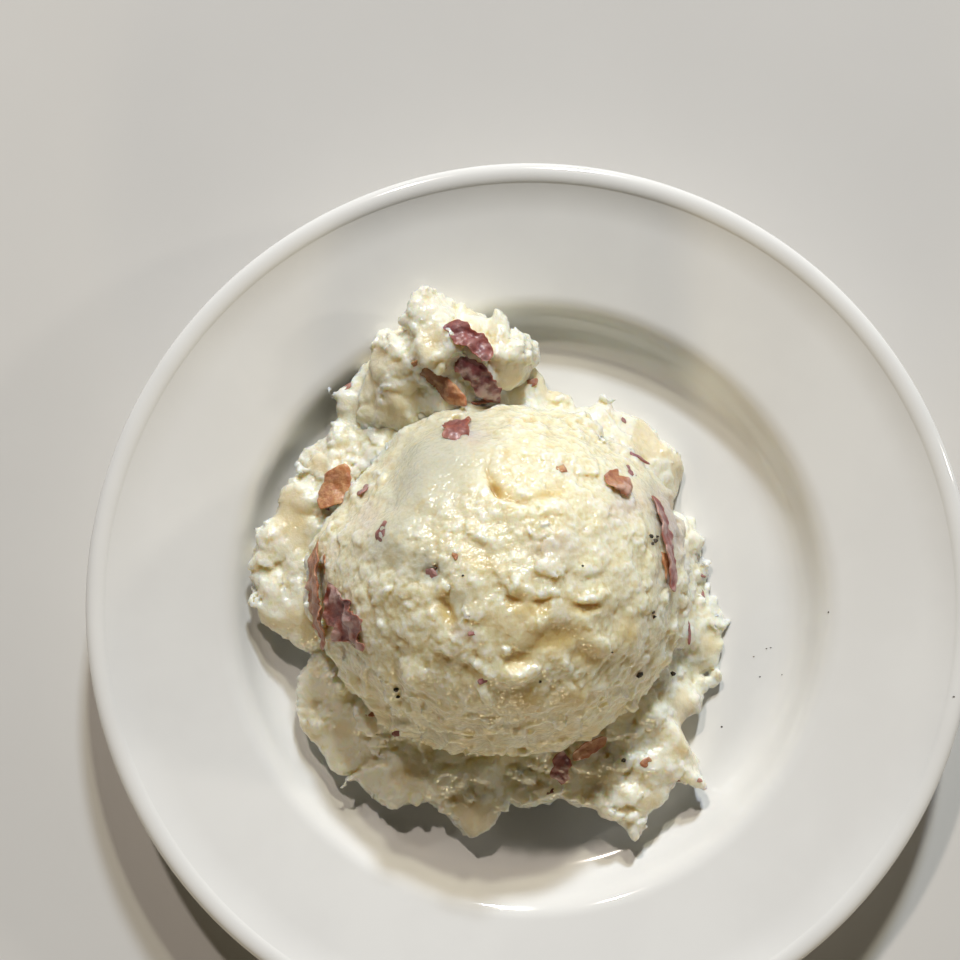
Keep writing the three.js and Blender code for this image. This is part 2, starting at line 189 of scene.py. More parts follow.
# Small bits of skin: x, y, length, width, turn, and how brown and how purple each is.
FLECKS = (
    (-28.8, 16.2, 4.6, 3.4, 75, 0.1, 0.0), (-20.0, 8.3, 3.2, 2.6, 20, 0.5, 0.8),
    (-14.9, 11.9, 2.0, 1.2, 120, 1.0, 0.0), (5.2, 28.5, 2.6, 2.4, 0, 1.0, 0.0),
    (19.7, 27.7, 4.0, 2.8, 60, 0.2, 0.9), (26.6, 17.4, 6.5, 1.3, 118, 0.2, 1.0),
    (27.2, 8.9, 8.0, 4.4, 105, 0.9, 0.0), (32.9, -5.0, 6.0, 0.8, 85, 0.1, 0.4),
    (-11.5, -2.8, 2.2, 1.0, 10, 0.3, 0.6), (-9.8, -12.1, 2.0, 1.2, 30, 0.2, 1.0),
    (-33.4, 24.2, 4.0, 3.2, 20, 0.3, 0.9), (-31.9, -21.2, 3.2, 2.2, 40, 1.0, 0.2),
    (-26.8, -25.1, 4.0, 2.8, 60, 0.1, 0.5), (36.2, 6.2, 2.2, 1.4, 30, 0.3, 0.6),
    (36.3, 2.3, 2.4, 1.0, 70, 0.2, 0.7), (19.3, 38.5, 1.8, 1.2, 90, 0.2, 0.7),
    (0.2, 45.8, 3.2, 1.6, 20, 0.6, 0.3), (4.7, -37.9, 4.6, 1.0, 12, 0.2, 0.9),
    (23.7, -31.6, 2.6, 1.6, 30, 0.9, 0.2), (30.7, -36.2, 2.4, 1.4, 20, 0.8, 0.3),
    (34.7, -35.8, 1.8, 0.8, 0, 0.6, 0.6), (-38.0, 24.2, 3.0, 1.6, 60, 0.2, 1.0),
    (-41.6, 21.3, 5.4, 1.8, 70, 0.0, 1.0), (31.0, 20.9, 2.4, 1.2, 80, 0.9, 0.5),
    (21.0, 31.0, 7.0, 0.8, -35, 0.1, 1.0), (-41.2, 7.5, 7.5, 3.2, 95, 0.95, 0.0),
    (-38.0, 46.0, 2.6, 1.6, 30, 0.6, 0.7),
)
# Cracked pepper: x, y, size.
PEPPER = (
    (23.0, 14.9, 1.1), (24.0, 14.0, 1.0), (23.4, 13.6, 0.8), (24.4, 14.9, 0.7), (23.5, 0.3, 0.8),
    (23.7, -0.7, 0.9), (21.1, -12.4, 1.7), (29.3, -13.9, 1.3), (29.9, 20.1, 0.9), (-13.4, 8.0, 0.5),
    (9.2, 9.7, 0.5), (1.2, -12.4, 0.6), (19.2, -31.4, 1.1), (-26.5, -14.8, 1.2), (-26.2, -16.4, 0.9),
    (15.0, -7.0, 0.5), (-18.6, 9.4, 0.7),
)
# Specks on the plate: x, y, size.
PLATE_SPECKS = (
    (61.5, -1.2, 0.45), (50.8, -9.2, 0.35), (49.9, -9.4, 0.3), (47.2, -11.1, 0.35), (48.5, -15.3, 0.4),
    (40.5, -25.8, 0.5), (85.9, -18.0, 0.45), (53.0, -14.8, 0.3),
)
# Smooth waxy pieces of potato in the bed: x, y, half length, half width, turn, strength.
WAXY_SPOTS = (
    (-48.6, 18.4, 7.0, 4.0, 115, 1.0), (-3.2, 46.0, 3.6, 3.0, 0, 0.9), (-26.7, 41.1, 6.0, 3.6, 60, 0.9),
    (-20.2, 52.9, 3.6, 2.4, 70, 0.9), (-11.2, 48.9, 3.0, 2.4, 0, 0.8), (14.4, -34.4, 4.0, 2.6, 15, 0.9),
    (-45.0, -2.0, 4.5, 3.0, 60, 0.9), (38.0, -8.0, 3.6, 3.0, 0, 0.8), (-24.0, -34.0, 4.0, 3.0, 30, 0.7),
    (-17.6, 47.4, 1.8, 3.8, 10, 1.0),
)

# Soft places on the scoop in plan, from its middle: x, y, half length, half width, turn, height.
SWELLS = (
    (-1.3, 18.5, 1.5, 0.8, -55, -2.6), (9.1, 18.2, 3.2, 1.4, 10, -0.8), (9.6, -9.8, 5.4, 3.0, 4, -1.5),
    (16.4, -13.6, 3.2, 2.2, -10, -1.2), (4.4, -13.6, 3.4, 1.6, 20, -1.3),
    (3.2, -16.8, 3.4, 1.6, 5, 1.5), (-3.0, -20.8, 2.6, 1.0, -60, 1.2), (4.6, -22.0, 3.4, 3.0, 0, 0.7),
    (13.4, -22.0, 4.0, 2.6, 8, 0.7), (17.8, -11.6, 2.2, 2.6, 0, 1.1), (-14.2, 2.6, 2.2, 1.4, 20, -1.4),
    (-10.9, -5.0, 1.4, 3.2, 30, -1.8), (2.9, -2.4, 2.4, 1.2, 10, -0.7), (15.6, -4.2, 4.0, 1.2, 0, -0.8),
    (-7.9, 1.3, 4.4, 3.6, 0, 0.7), (7.0, 3.0, 6.5, 4.0, 15, 0.6), (-7.5, -6.0, 3.0, 2.4, 0, 0.5),
    (-13.6, -6.4, 3.0, 2.6, 0, 0.6), (-20.5, -19.5, 1.0, 4.0, 8, -0.9),
    (-17.6, -17.8, 1.4, 5.0, 6, 0.8), (24.6, -9.2, 2.6, 3.6, 0, 0.5),
    (-26.5, 19.5, 7.0, 11.0, 143, -2.6), (-36.5, -1.0, 5.0, 12.0, 0, 1.0),
)

# Torn edges on the scoop in plan, from its middle; the low side is on the right of their way.
# Each has a lift of the high side, a drop of the low side and how far each fades.
TEARS = (
    (((11.4, 18.2), (8.7, 16.8), (6.2, 15.7), (3.4, 15.5), (0.5, 16.3), (-1.0, 17.2), (-2.5, 18.7),
      (-3.6, 21.0), (-5.0, 24.9)), 0.55, 0.75, 3.0),
    (((6.6, 19.0), (8.7, 17.6), (11.0, 17.8), (12.6, 19.2)), 0.4, 0.5, 2.0),
    (((-0.5, 0.6), (1.6, -0.5), (2.7, -1.6), (4.2, -2.4), (7.0, -2.6), (9.3, -1.3), (10.8, -1.2),
      (13.1, -2.1), (15.2, -2.8), (17.8, -3.0), (20.5, -1.9)), 0.7, 1.0, 3.4),
    (((-17.0, 0.6), (-15.9, -0.7), (-14.8, -2.2), (-13.4, -2.7), (-12.1, -1.9), (-11.4, -0.2), (-11.9, 1.6)),
     0.8, 0.6, 2.6),
    (((-4.6, -9.8), (-8.0, -8.7), (-9.6, -6.8), (-10.9, -5.3), (-12.5, -2.5)), 0.5, 0.8, 2.0),
    (((6.6, -15.6), (5.3, -15.5), (3.2, -15.6), (1.5, -15.0), (-0.8, -14.4)), 0.7, 0.9, 2.2),
    (((-18.6, -1.0), (-17.1, 4.6), (-14.4, 8.4)), 0.5, 0.5, 2.2),
    (((-22.0, -8.0), (-17.0, -11.6), (-12.0, -12.6), (-7.0, -15.0), (-1.6, -17.4)), 0.4, 0.7, 2.6),
)

# Colour spots and smooth places on the scoop in plan, from its middle: x, y, half length, half width,
# turn, strength. The amber spots are waxy potato, and where they lie in the scoop's pits they are
# painted shade; grey is pressed mash, lilac a stain from the skins.
AMBER_SPOTS = (
    (-1.3, 18.3, 2.2, 1.2, -55, 1.0), (9.2, 17.7, 3.4, 0.9, 6, 0.7), (9.8, -10.0, 6.4, 3.2, 4, 0.8),
    (16.6, -13.4, 4.0, 2.4, -10, 0.7), (3.4, -14.2, 3.0, 1.4, 20, 0.8), (4.6, -22.2, 3.4, 3.2, 0, 0.75),
    (13.4, -22.0, 4.4, 2.8, 8, 0.55), (24.6, -9.2, 2.6, 3.4, 0, 0.55), (-10.7, -4.9, 1.5, 3.2, 30, 1.0),
    (2.9, -2.2, 1.8, 1.4, 10, 0.7), (16.0, -4.4, 4.6, 1.2, 0, 0.7), (0.8, 25.1, 1.0, 1.3, 0, 0.5),
    (-4.2, 5.1, 5.0, 2.2, -25, 0.45), (-6.7, -18.6, 1.6, 0.8, 0, 0.5), (4.0, -7.4, 8.0, 3.4, -8, 0.3),
)
GREY_SPOTS = (
    (-13.8, 23.5, 14.0, 8.0, 40, 0.9), (-21.0, 10.0, 6.0, 8.0, 0, 0.6), (-15.0, 4.0, 5.0, 4.0, 0, 0.7),
    (32.0, 13.0, 3.2, 9.0, 24, 0.8), (-6.0, -31.0, 26.0, 4.0, 0, 0.5), (-8.4, -2.6, 4.0, 3.0, 0, 0.4),
)
SMOOTH_SPOTS = (
    (-14.0, 23.0, 15.0, 7.5, 40, 0.95), (-23.0, 12.0, 7.0, 7.0, 0, 0.7),
    (30.0, 16.0, 3.2, 12.0, 24, 0.7), (1.0, 27.0, 7.0, 3.0, 0, 0.6), (13.0, -26.0, 16.0, 5.0, 0, 0.6),
    (-20.0, -22.0, 6.0, 8.0, 40, 0.4),
)
LILAC_SPOTS = (
    (24.5, 15.0, 5.0, 3.4, 20, 0.55), (9.4, 7.0, 5.0, 3.0, 10, 0.3), (-28.0, 13.0, 3.0, 4.0, 0, 0.5),
    (34.0, 10.5, 1.8, 8.0, 24, 0.75), (37.0, -10.0, 1.6, 6.0, 0, 0.5), (-5.6, 28.6, 3.0, 2.4, 0, 0.5),
    (-7.0, -8.8, 2.6, 1.2, -25, 0.6), (24.0, 28.0, 6.0, 2.0, -30, 0.35),
)


# ---------------------------------------------------------------------------------------------
# Noise and small tools
# ---------------------------------------------------------------------------------------------

def shuffled(cell, salt):
    """A repeatable whole number for each lattice cell: its indices are multiplied and folded."""
    x, y, z = (cell[..., axis].astype(np.int64).astype(np.uint32) for axis in range(3))
    mixed = (x * np.uint32(0x9E3779B1)) ^ (y * np.uint32(0x85EBCA77)) ^ (z * np.uint32(0xC2B2AE3D))
    mixed ^= np.uint32((salt * 0x27D4EB2F) & 0xFFFFFFFF)
    mixed ^= mixed >> np.uint32(15)
    mixed *= np.uint32(0x2C1B3C6D)
    mixed ^= mixed >> np.uint32(12)
    mixed *= np.uint32(0x297A2D39)
    return mixed ^ (mixed >> np.uint32(15))


def three_shares(mixed):
    """Three numbers from 0 to 1 out of the low, middle and high bits of a whole number."""
    bits = [(mixed >> np.uint32(shift)) & np.uint32(1023) for shift in (0, 10, 20)]
    return np.stack(bits, axis=-1) / 1023.0


def waves(points, size, salt):
    """Gradient noise from -1 to 1: at each of a cell's eight corners a random slope is followed
    to the point, and the eight heights are blended with an S-shaped weight."""
    place = points / size
    cell = np.floor(place)
    inside = place - cell
    weight = inside ** 3 * (inside * (inside * 6 - 15) + 10)
    total = np.zeros(points.shape[:-1])
    for corner in np.ndindex(2, 2, 2):
        step = np.array(corner, float)
        slope = three_shares(shuffled(cell + step, salt)) * 2 - 1
        share = np.prod(np.where(step > 0.5, weight, 1 - weight), axis=-1)
        total += share * ((inside - step) * slope).sum(axis=-1)
    return total * 1.7


def flakes(points, size, salt, front):
    """Torn flakes. In each lattice cell lies a round flake, thin at its back and thickest at its
    front edge, where it stops short; front is the way that most of them face. Gives the height
    of the thickest flake, from 0 to 1."""
    place = points / size
    cell = np.floor(place)
    inside = place - cell
    height = np.zeros(points.shape[:-1])
    for step in np.ndindex(3, 3, 3):
        offset = np.array(step, float) - 1
        mixed = shuffled(cell + offset, salt)
        shares = three_shares(mixed)
        way = front + 1.5 * (three_shares(mixed * np.uint32(0x9E3779B1)) - 0.5)
        away = inside - offset - (0.15 + 0.7 * shares)
        radius = 0.46 + 0.36 * shares[..., 1]
        distance = np.sqrt((away ** 2).sum(axis=-1)) / radius
        forward = (away * way).sum(axis=-1) / (radius * np.sqrt((way ** 2).sum(axis=-1)))
        ramp = np.clip(0.5 + 0.5 * forward, 0, 1) ** 1.5
        lip = 1 - smooth_step(0.86, 1.0, distance)
        height = np.maximum(height, lip * ramp * (0.4 + 0.6 * shares[..., 2]))
    return height


def billows(points, size, salt):
    """Rounded heaps with narrow valleys: the size of gradient noise, about 0 on average."""
    return 2.4 * np.sqrt(waves(points, size, salt) ** 2 + 0.012) - 0.55


def drift(points, size, amount, salt):
    """The points moved about by three noises, which bends what is worked out from them."""
    return points + amount * np.stack([waves(points, size, salt + i) for i in range(3)], axis=-1)


def smooth_step(low, high, value):
    """From 0 at low to 1 at high, with level ends."""
    share = np.clip((value - low) / (high - low), 0, 1)
    return share * share * (3 - 2 * share)


def spot(plan, x, y, half_long, half_wide, turn):
    """A soft ellipse in plan, 1 in the middle and about 0 from its edge on."""
    angle = math.radians(turn)
    east, north = plan[..., 0] - x, plan[..., 1] - y
    along = (east * math.cos(angle) + north * math.sin(angle)) / half_long
    across = (north * math.cos(angle) - east * math.sin(angle)) / half_wide
    return np.exp(-((along ** 2 + across ** 2) ** 1.4))


def tear(plan, path, lift, drop, fade):
    """A torn edge: the distance to a bent line, signed by its side. The high side swells up to
    the line, the low side starts deep and comes back, and both fade with the distance and
    towards the line's ends."""
    path = np.array(path, float)
    best = np.full(plan.shape[:-1], 1e9)
    side, gone = np.zeros_like(best), np.zeros_like(best)
    runs = np.diff(path, axis=0)
    lengths = np.linalg.norm(runs, axis=1)
    passed = np.cumsum(lengths) - lengths
    for start, run, length, before in zip(path[:-1], runs, lengths, passed):
        share = np.clip(((plan - start) @ run) / (run @ run), 0, 1)
        away = plan - (start + share[..., None] * run)
        distance = np.hypot(away[..., 0], away[..., 1])
        nearer = distance < best
        best = np.where(nearer, distance, best)
        gone = np.where(nearer, before + share * length, gone)
        side = np.where(nearer, run[0] * away[..., 1] - run[1] * away[..., 0], side)
    taper = smooth_step(0, 3.0, gone) * smooth_step(0, 3.0, lengths.sum() - gone)
    edge = smooth_step(0, 0.6, best) * taper
    high = lift * np.exp(-(best / fade) ** 1.5)
    low = -drop * np.exp(-(best / fade) ** 1.3)
    return edge * np.where(side > 0, high, low)


def level_way(bearing):
    """Unit vector in plan at a bearing in degrees from +X towards +Y."""
    angle = np.radians(bearing)
    return np.stack((np.cos(angle), np.sin(angle), np.zeros_like(angle)), axis=-1)


# ---------------------------------------------------------------------------------------------
# Meshes
# ---------------------------------------------------------------------------------------------

def make_piece(name, points, faces, material, attributes=None, smooth=True):
    """A mesh object at the origin from points in mm, faces of point numbers and point values."""
    mesh = bpy.data.meshes.new(name)
    mesh.from_pydata((np.asarray(points).reshape(-1, 3) * MM).tolist(), [], faces)
    mesh.polygons.foreach_set("use_smooth", np.full(len(mesh.polygons), smooth))
    for key, values in (attributes or {}).items():
        layer = mesh.attributes.new(key, "FLOAT", "POINT")
        layer.data.foreach_set("value", np.asarray(values, np.float32).ravel())
    mesh.materials.append(material)
    mesh.update()
    piece = bpy.data.objects.new(name, mesh)
    bpy.context.scene.collection.objects.link(piece)
    return piece


def fan_faces(ring, middle, flip):
    """Triangles from a closed ring of point numbers to one middle point."""
    after = np.roll(ring, -1)
    fan = np.stack((ring, after, np.full_like(ring, middle)), axis=-1)
    return fan[:, ::-1] if flip else fan


def closed_faces(rows, columns, flip=False):
    """Faces of a grid whose columns close to a ring and whose first and last rows close to a
    pole each; the two poles are the points after the grid's own."""
    number = np.arange(rows * columns).reshape(rows, columns)
    after = np.roll(number, -1, axis=1)
    quads = np.stack((number[:-1], after[:-1], after[1:], number[1:]), axis=-1).reshape(-1, 4)
    quads = quads[:, ::-1] if flip else quads
    return (quads.tolist()
            + fan_faces(number[0], number.size, not flip).tolist()
            + fan_faces(number[-1], number.size + 1, flip).tolist())


def surface_net(value, low, step):
    """Points and faces where a lattice of values passes 0, less than 0 being inside. Each lattice
    cell with corners on both sides gets one point, the mean of the crossings on its twelve edges;
    each crossed lattice edge gets the quad of the four cells round it, turned outwards."""
    inside = value < 0
    corners = [inside[x:x - 1 or None, y:y - 1 or None, z:z - 1 or None] for x, y, z in np.ndindex(2, 2, 2)]
    count = sum(corner.astype(np.int8) for corner in corners)
    cells = np.argwhere((count > 0) & (count < 8))
    number = np.full(count.shape, -1)
    number[tuple(cells.T)] = np.arange(len(cells))
    total, crossings = np.zeros((len(cells), 3)), np.zeros(len(cells))
    for axis in range(3):
        way = np.eye(3, dtype=int)[axis]
        for start in np.ndindex(2, 2, 2):
            if start[axis]:
                continue
            near = value[tuple((cells + start).T)]
            far = value[tuple((cells + start + way).T)]
            crossed = (near < 0) != (far < 0)
            share = np.divide(near, near - far, out=np.zeros_like(near), where=crossed)
            total += crossed[:, None] * (np.array(start) + share[:, None] * way)
            crossings += crossed
    points = low + step * (cells + total / crossings[:, None])
    faces = []
    for axis in range(3):
        way, second, third = np.roll(np.eye(3, dtype=int), -axis, axis=0)
        first_side = np.take(inside, range(value.shape[axis] - 1), axis=axis)
        other_side = np.take(inside, range(1, value.shape[axis]), axis=axis)
        for outward, crossed in ((True, first_side & ~other_side), (False, ~first_side & other_side)):
            edge = np.argwhere(crossed)
            quad = [number[tuple((edge - back).T)] for back in (second + third, third, 0 * way, second)]
            faces.append(np.stack(quad if outward else quad[::-1], axis=-1))
    return points, np.concatenate(faces)


def mean_of_neighbours(field, quads, times):
    """Values at the points of a closed net of quads, each taken half way to the mean of its
    neighbours' several times over."""
    start, end = quads.ravel(), np.roll(quads, -1, axis=1).ravel()
    count = np.maximum(np.bincount(start, minlength=len(field)), 1)
    for _ in range(times):
        total = [np.bincount(start, weights=column[end], minlength=len(field)) for column in field.T]
        field = (field + np.stack(total, axis=-1) / count[:, None]) / 2
    return field


def net_normals(points, quads):
    """Unit normals at the points of a net of quads: the sum of the cross products of the
    diagonals of the quads that meet there."""
    corners = points[quads]
    face = np.cross(corners[:, 2] - corners[:, 0], corners[:, 3] - corners[:, 1])
    spread = np.repeat(face, 4, axis=0)
    total = np.stack([np.bincount(quads.ravel(), weights=spread[:, axis], minlength=len(points))
                      for axis in range(3)], axis=-1)
    return total / np.maximum(np.linalg.norm(total, axis=-1, keepdims=True), 1e-9)


def standing(points, quads, times):
    """How far each point stands out of the evened net, in mm; less than 0 in a hollow."""
    away = points - mean_of_neighbours(points, quads, times)
    return (away * net_normals(points, quads)).sum(axis=-1)


# ---------------------------------------------------------------------------------------------
# The plate
# ---------------------------------------------------------------------------------------------

def bend(start, near, far, end, steps):
    """Points of a cubic curve after its start."""
    share = np.linspace(0, 1, steps + 1)[1:, None]
    start, near, far, end = (np.array(p, float) for p in (start, near, far, end))
    return ((1 - share) ** 3 * start + 3 * (1 - share) ** 2 * share * near
            + 3 * (1 - share) * share ** 2 * far + share ** 3 * end)


def plate_underside():
    """Profile of the underside from the axis out to the widest point: radius and height."""
    under = WELL_HEIGHT - CHINA_THICKNESS
    foot_inner = FOOT_RADIUS - FOOT_WIDTH
    first = [(0, FOOT_HEIGHT), (10, FOOT_HEIGHT), (25, FOOT_HEIGHT), (foot_inner - 0.8, FOOT_HEIGHT),
             (foot_inner + 0.6, 0), (FOOT_RADIUS - 0.9, 0), (FOOT_RADIUS, under + 0.4)]
    shoulder = (SHOULDER_RADIUS, SHOULDER_HEIGHT - CHINA_THICKNESS)
    outer = (87, RIM_HEIGHT - 4.8)
    edge = (PLATE_RADIUS, EDGE_HEIGHT)
    rows = [first, bend(first[-1], (55, under + 1), (57, 8.1), shoulder, CURVE_STEPS),
            [(75, 12.85), outer],
            bend(outer, (89.8, 15.9), (PLATE_RADIUS, 17.4), edge, CURVE_STEPS)]
    return np.concatenate([np.array(r, float) for r in rows])


def plate_top():
    """Profile of the upper side from the rim's outer edge in to the axis."""
    edge = (PLATE_RADIUS, EDGE_HEIGHT)
    crest = (RIM_CREST_RADIUS, RIM_HEIGHT)
    rim_inner = (64.5, SHOULDER_HEIGHT + 0.6)
    wall = (59.5, 11.4)
    well = (WELL_RADIUS, WELL_HEIGHT)
    rows = [bend(edge, (PLATE_RADIUS, 19.5), (89.4, RIM_HEIGHT), crest, CURVE_STEPS),
            bend(crest, (87.7, RIM_HEIGHT), (86.9, 19.8), (86.3, 19.3), CURVE_STEPS),
            [(80, 18.1), (73, 16.8), rim_inner],
            bend(rim_inner, (62.2, 14.8), (60.8, 13.6), wall, CURVE_STEPS),
            bend(wall, (58, 8.8), (56, WELL_HEIGHT), well, CURVE_STEPS),
            [(38, WELL_HEIGHT), (20, WELL_HEIGHT), (0, WELL_HEIGHT)]]
    return np.concatenate([np.array(r, float) for r in rows])


def plate_height(points):
    """Height of the plate's upper side under each point."""
    top = plate_top()[::-1]
    return np.interp(np.hypot(points[..., 0], points[..., 1]), top[:, 0], top[:, 1])


def build_plate(material):
    """The profile, radius and height, turned once round Z; both poles are single points."""
    profile = np.concatenate((plate_underside(), plate_top()))
    ring = profile[1:-1]
    turn = np.linspace(0, 2 * math.pi, PLATE_SEGMENTS, endpoint=False)
    radius = ring[:, :1] * np.ones_like(turn)
    points = np.stack((radius * np.cos(turn), radius * np.sin(turn), ring[:, 1:] + 0 * turn), axis=-1)
    poles = np.array(((0, 0, profile[0, 1]), (0, 0, profile[-1, 1])))
    points = np.concatenate((points.reshape(-1, 3), poles))
    return make_piece("plate_glazed", points, closed_faces(len(ring), PLATE_SEGMENTS), material)


# ---------------------------------------------------------------------------------------------
# The mash
# ---------------------------------------------------------------------------------------------

def coarse_relief(points, salt, front, heaps):
    """The large part of what torn mash adds to a surface, in mm: rounded heaps and broad flakes."""
    bent = drift(drift(points, 2.4, 0.6, salt), 0.9, 0.26, salt + 3)
    large = flakes(bent, 7.0, salt + 7, front)
    return heaps * billows(bent, 9.0, salt + 6) + (1.05 + 0.55 * heaps) * large - 0.6


def fine_relief(points, salt, front):
    """The small part: ragged flakes and crumbs of falling sizes, more of them in some patches
    than in others."""
    bent = drift(points, 1.7, 0.42, salt + 3)
    patch = 0.35 + 0.65 * smooth_step(-0.25, 0.3, waves(points, 7.0, salt + 11))
    flake = 1.15 * flakes(bent, 3.8, salt + 8, front) + 0.75 * flakes(bent, 2.1, salt + 9, front)
    crumb = 0.34 * billows(bent, 2.6, salt + 10) + 0.2 * billows(bent, 1.3, salt + 12)
    return patch * (flake + crumb) - 0.5


def grit(points, salt):
    """The smallest grains, in mm: two noises of fine cells."""
    return 0.2 * waves(points, 0.95, salt) + 0.14 * waves(points, 0.55, salt + 1)


def sum_of_spots(plan, rows):
    """The strongest of several soft ellipses at each point."""
    best = np.zeros(plan.shape[:-1])
    for x, y, half_long, half_wide, turn, strength in rows:
        best = np.maximum(best, strength * spot(plan, x, y, half_long, half_wide, turn))
    return best


def ball_distance(away, sizes):
    """About how far a point is outside an ellipsoid: k(k - 1) / g, where k is the scaled radius
    and g its slope."""
    scaled = np.linalg.norm(away / sizes, axis=-1)
    slope = np.linalg.norm(away / sizes ** 2, axis=-1)
    return scaled * (scaled - 1) / np.maximum(slope, 1e-6)


def scoop_field(points):
    """How far each point is outside the plain scoop, an ellipsoid."""
    return ball_distance(points - SCOOP_CENTRE, SCOOP_HALF_SIZES)


def scoop_detail(points):
    """The pressed scoop's own shape: broad swells, soft hollows, torn edges and, down its near
    side, shingles: a saw of the height along the way down, each thickest at its lower edge. Its
    side ends in a ragged flange. Also how rough it is torn, and its colour values: amber for waxy
    places and as painted shade in its pits, under its torn edges and on its near side, which
    faces away from the main lamps; grey where it was pressed; lilac stains by the skins."""
    scaled = (points - SCOOP_CENTRE) / SCOOP_HALF_SIZES
    facing = scaled / np.maximum(np.linalg.norm(scaled, axis=-1, keepdims=True), 1e-6)
    base = SCOOP_CENTRE + SCOOP_HALF_SIZES * facing
    plan = (base - SCOOP_CENTRE)[..., :2]
    wander = np.stack([waves(base, 5.0, 40 + i) for i in range(2)], axis=-1)
    bent = plan + 0.9 * wander
    tilt = np.degrees(np.arccos(np.clip(facing[..., 2], -1, 1)))

    height = 0.7 * waves(base, 17.0, 1) + 0.45 * waves(base, 8.0, 2)
    for x, y, half_long, half_wide, turn, lift in SWELLS:
        height = height + lift * spot(plan + 0.35 * wander, x, y, half_long, half_wide, turn)
    come_and_go = 0.25 + 0.95 * smooth_step(-0.3, 0.4, waves(base, 4.0, 45))
    sunk = np.zeros_like(height)
    for path, lift, drop, fade in TEARS:
        torn = come_and_go * tear(plan + 0.55 * wander, path, lift, drop, fade)
        height = height + 0.8 * torn
        sunk = np.maximum(sunk, -torn)
    near_side = smooth_step(0.1, 0.8, -facing[..., 1]) * smooth_step(40, 60, tilt)
    squat = base * (1, 1, 0.35)
    ledge = np.hypot(plan[..., 0], plan[..., 1]) / LEDGE
    ledge = ledge + 1.1 * waves(squat, 7.0, 60) + 0.4 * waves(squat, 2.4, 61)
    saw = ledge - np.floor(ledge)
    height = height + near_side * (0.7 + 0.9 * come_and_go) * (saw ** 1.8 - 0.4)
    brim = tilt + 5 * waves(base, 4.0, 70) + 3 * waves(base, 1.8, 72)
    flange = smooth_step(66, 80, tilt) * (1 - smooth_step(82, 84.5, brim))
    height = height + flange * (1.3 + 1.0 * waves(base, 3.4, 71)) - 2.4 * smooth_step(82, 88, brim)

    # The amber spots: waxy potato, and painted shade where they lie in the pits.
    waxy = np.minimum(1.3 * sum_of_spots(plan + 0.4 * wander, AMBER_SPOTS), 1)
    smooth = np.maximum(sum_of_spots(bent, SMOOTH_SPOTS), 0.5 * near_side)
    rough = 0.74 * (1 - smooth) * (1 - 0.6 * waxy)
    # Painted shade: amber on the low side of the torn edges, under their lips.
    amber = np.maximum(waxy, 0.8 * smooth_step(0.15, 0.6, sunk))
    # Painted shade: amber on the near side, which faces away from the main lamps.
    amber = np.maximum(amber, 0.5 * near_side * smooth_step(-0.2, 0.5, waves(squat, 4.5, 63)))
    grey = sum_of_spots(bent, GREY_SPOTS)
    lilac = sum_of_spots(bent, LILAC_SPOTS)
    return height, rough, amber, grey, lilac


def build_scoop(material):
    """The pressed scoop, down to where the bed hides it."""
    return torn_piece(
        "mash_scoop", scoop_field, scoop_detail, SCOOP_SKINS, material,
        low=(-46.0, -32.0, 8.0), high=(34.0, 45.0, 56.0), step=0.47,
        salt=100, heaps=0.45, lumps=45, cut=SCOOP_CUT, pale=0.05)


def bed_field(points):
    """How far each point is outside the plain bed, in mm: for every bearing its section is a slab
    with a half-round edge, and a hole in the middle inside the scoop."""
    away = points - BED_AXIS
    bearing = np.degrees(np.arctan2(away[..., 1], away[..., 0])) % 360
    reach = np.interp(bearing, BED_OUTLINE[:, 0], BED_OUTLINE[:, 1], period=360)
    inner_top, outer_top, under = (np.interp(bearing, BED_HEIGHTS[:, 0], column, period=360)
                                   for column in BED_HEIGHTS[:, 1:].T)
    radius = np.hypot(away[..., 0], away[..., 1])
    top = inner_top + (outer_top - inner_top) * smooth_step(28, np.maximum(reach - 2, 38), radius)
    half = (top - under) / 2
    up = (points[..., 2] - WELL_HEIGHT - (top + under) / 2) / half
    out = np.maximum(radius - reach + BED_EDGE, 0) / BED_EDGE
    return np.maximum((np.hypot(out, up) - 1) * half, BED_HOLE - radius)


def mound_field(points):
    """How far each point is outside the high lump: the least of its ellipsoids' distances."""
    nearest = np.full(points.shape[:-1], 1e3)
    for bearing, distance, middle, half_long, half_wide, half_high in MOUNDS:
        out = level_way(np.float64(bearing))
        turned = np.stack((out, np.cross(UP, out), UP))
        away = (points - (BED_AXIS + out * distance + UP * (WELL_HEIGHT + middle))) @ turned.T
        nearest = np.minimum(nearest, ball_distance(away, np.array((half_long, half_wide, half_high))))
    return nearest


def heap_detail(points):
    """Loose mash is torn all over, but for waxy amber pieces in it; it isn't pressed or stained."""
    none = np.zeros(points.shape[:-1])
    piece = smooth_step(0.30, 0.42, waves(drift(points, 3.0, 0.5, 400), 9.0, 403))
    piece = np.maximum(0.7 * piece, sum_of_spots(drift(points, 3.0, 0.8, 410)[..., :2], WAXY_SPOTS))
    return -0.3 * piece, 0.92 - 0.8 * piece, 0.6 * piece, none, none


def skin_seat(place):
    """Where a piece of skin lies: its middle, and the ways along it, across it and out of it."""
    bearing, tilt, turn = place[-3:]
    facing = level_way(bearing) * math.sin(math.radians(tilt)) + UP * math.cos(math.radians(tilt))
    if len(place) == 3:
        middle = SCOOP_CENTRE + SCOOP_HALF_SIZES * facing + SKIN_PROUD * facing
    else:
        middle = (BED_AXIS + place[1] * level_way(place[0])) * (1, 1, 0) + place[2] * UP
    level = level_way(bearing + 90)
    uphill = np.cross(facing, level)
    angle = math.radians(turn)
    along = math.cos(angle) * level + math.sin(angle) * uphill
    across = math.cos(angle) * uphill - math.sin(angle) * level
    return middle, np.stack((along, across, facing))


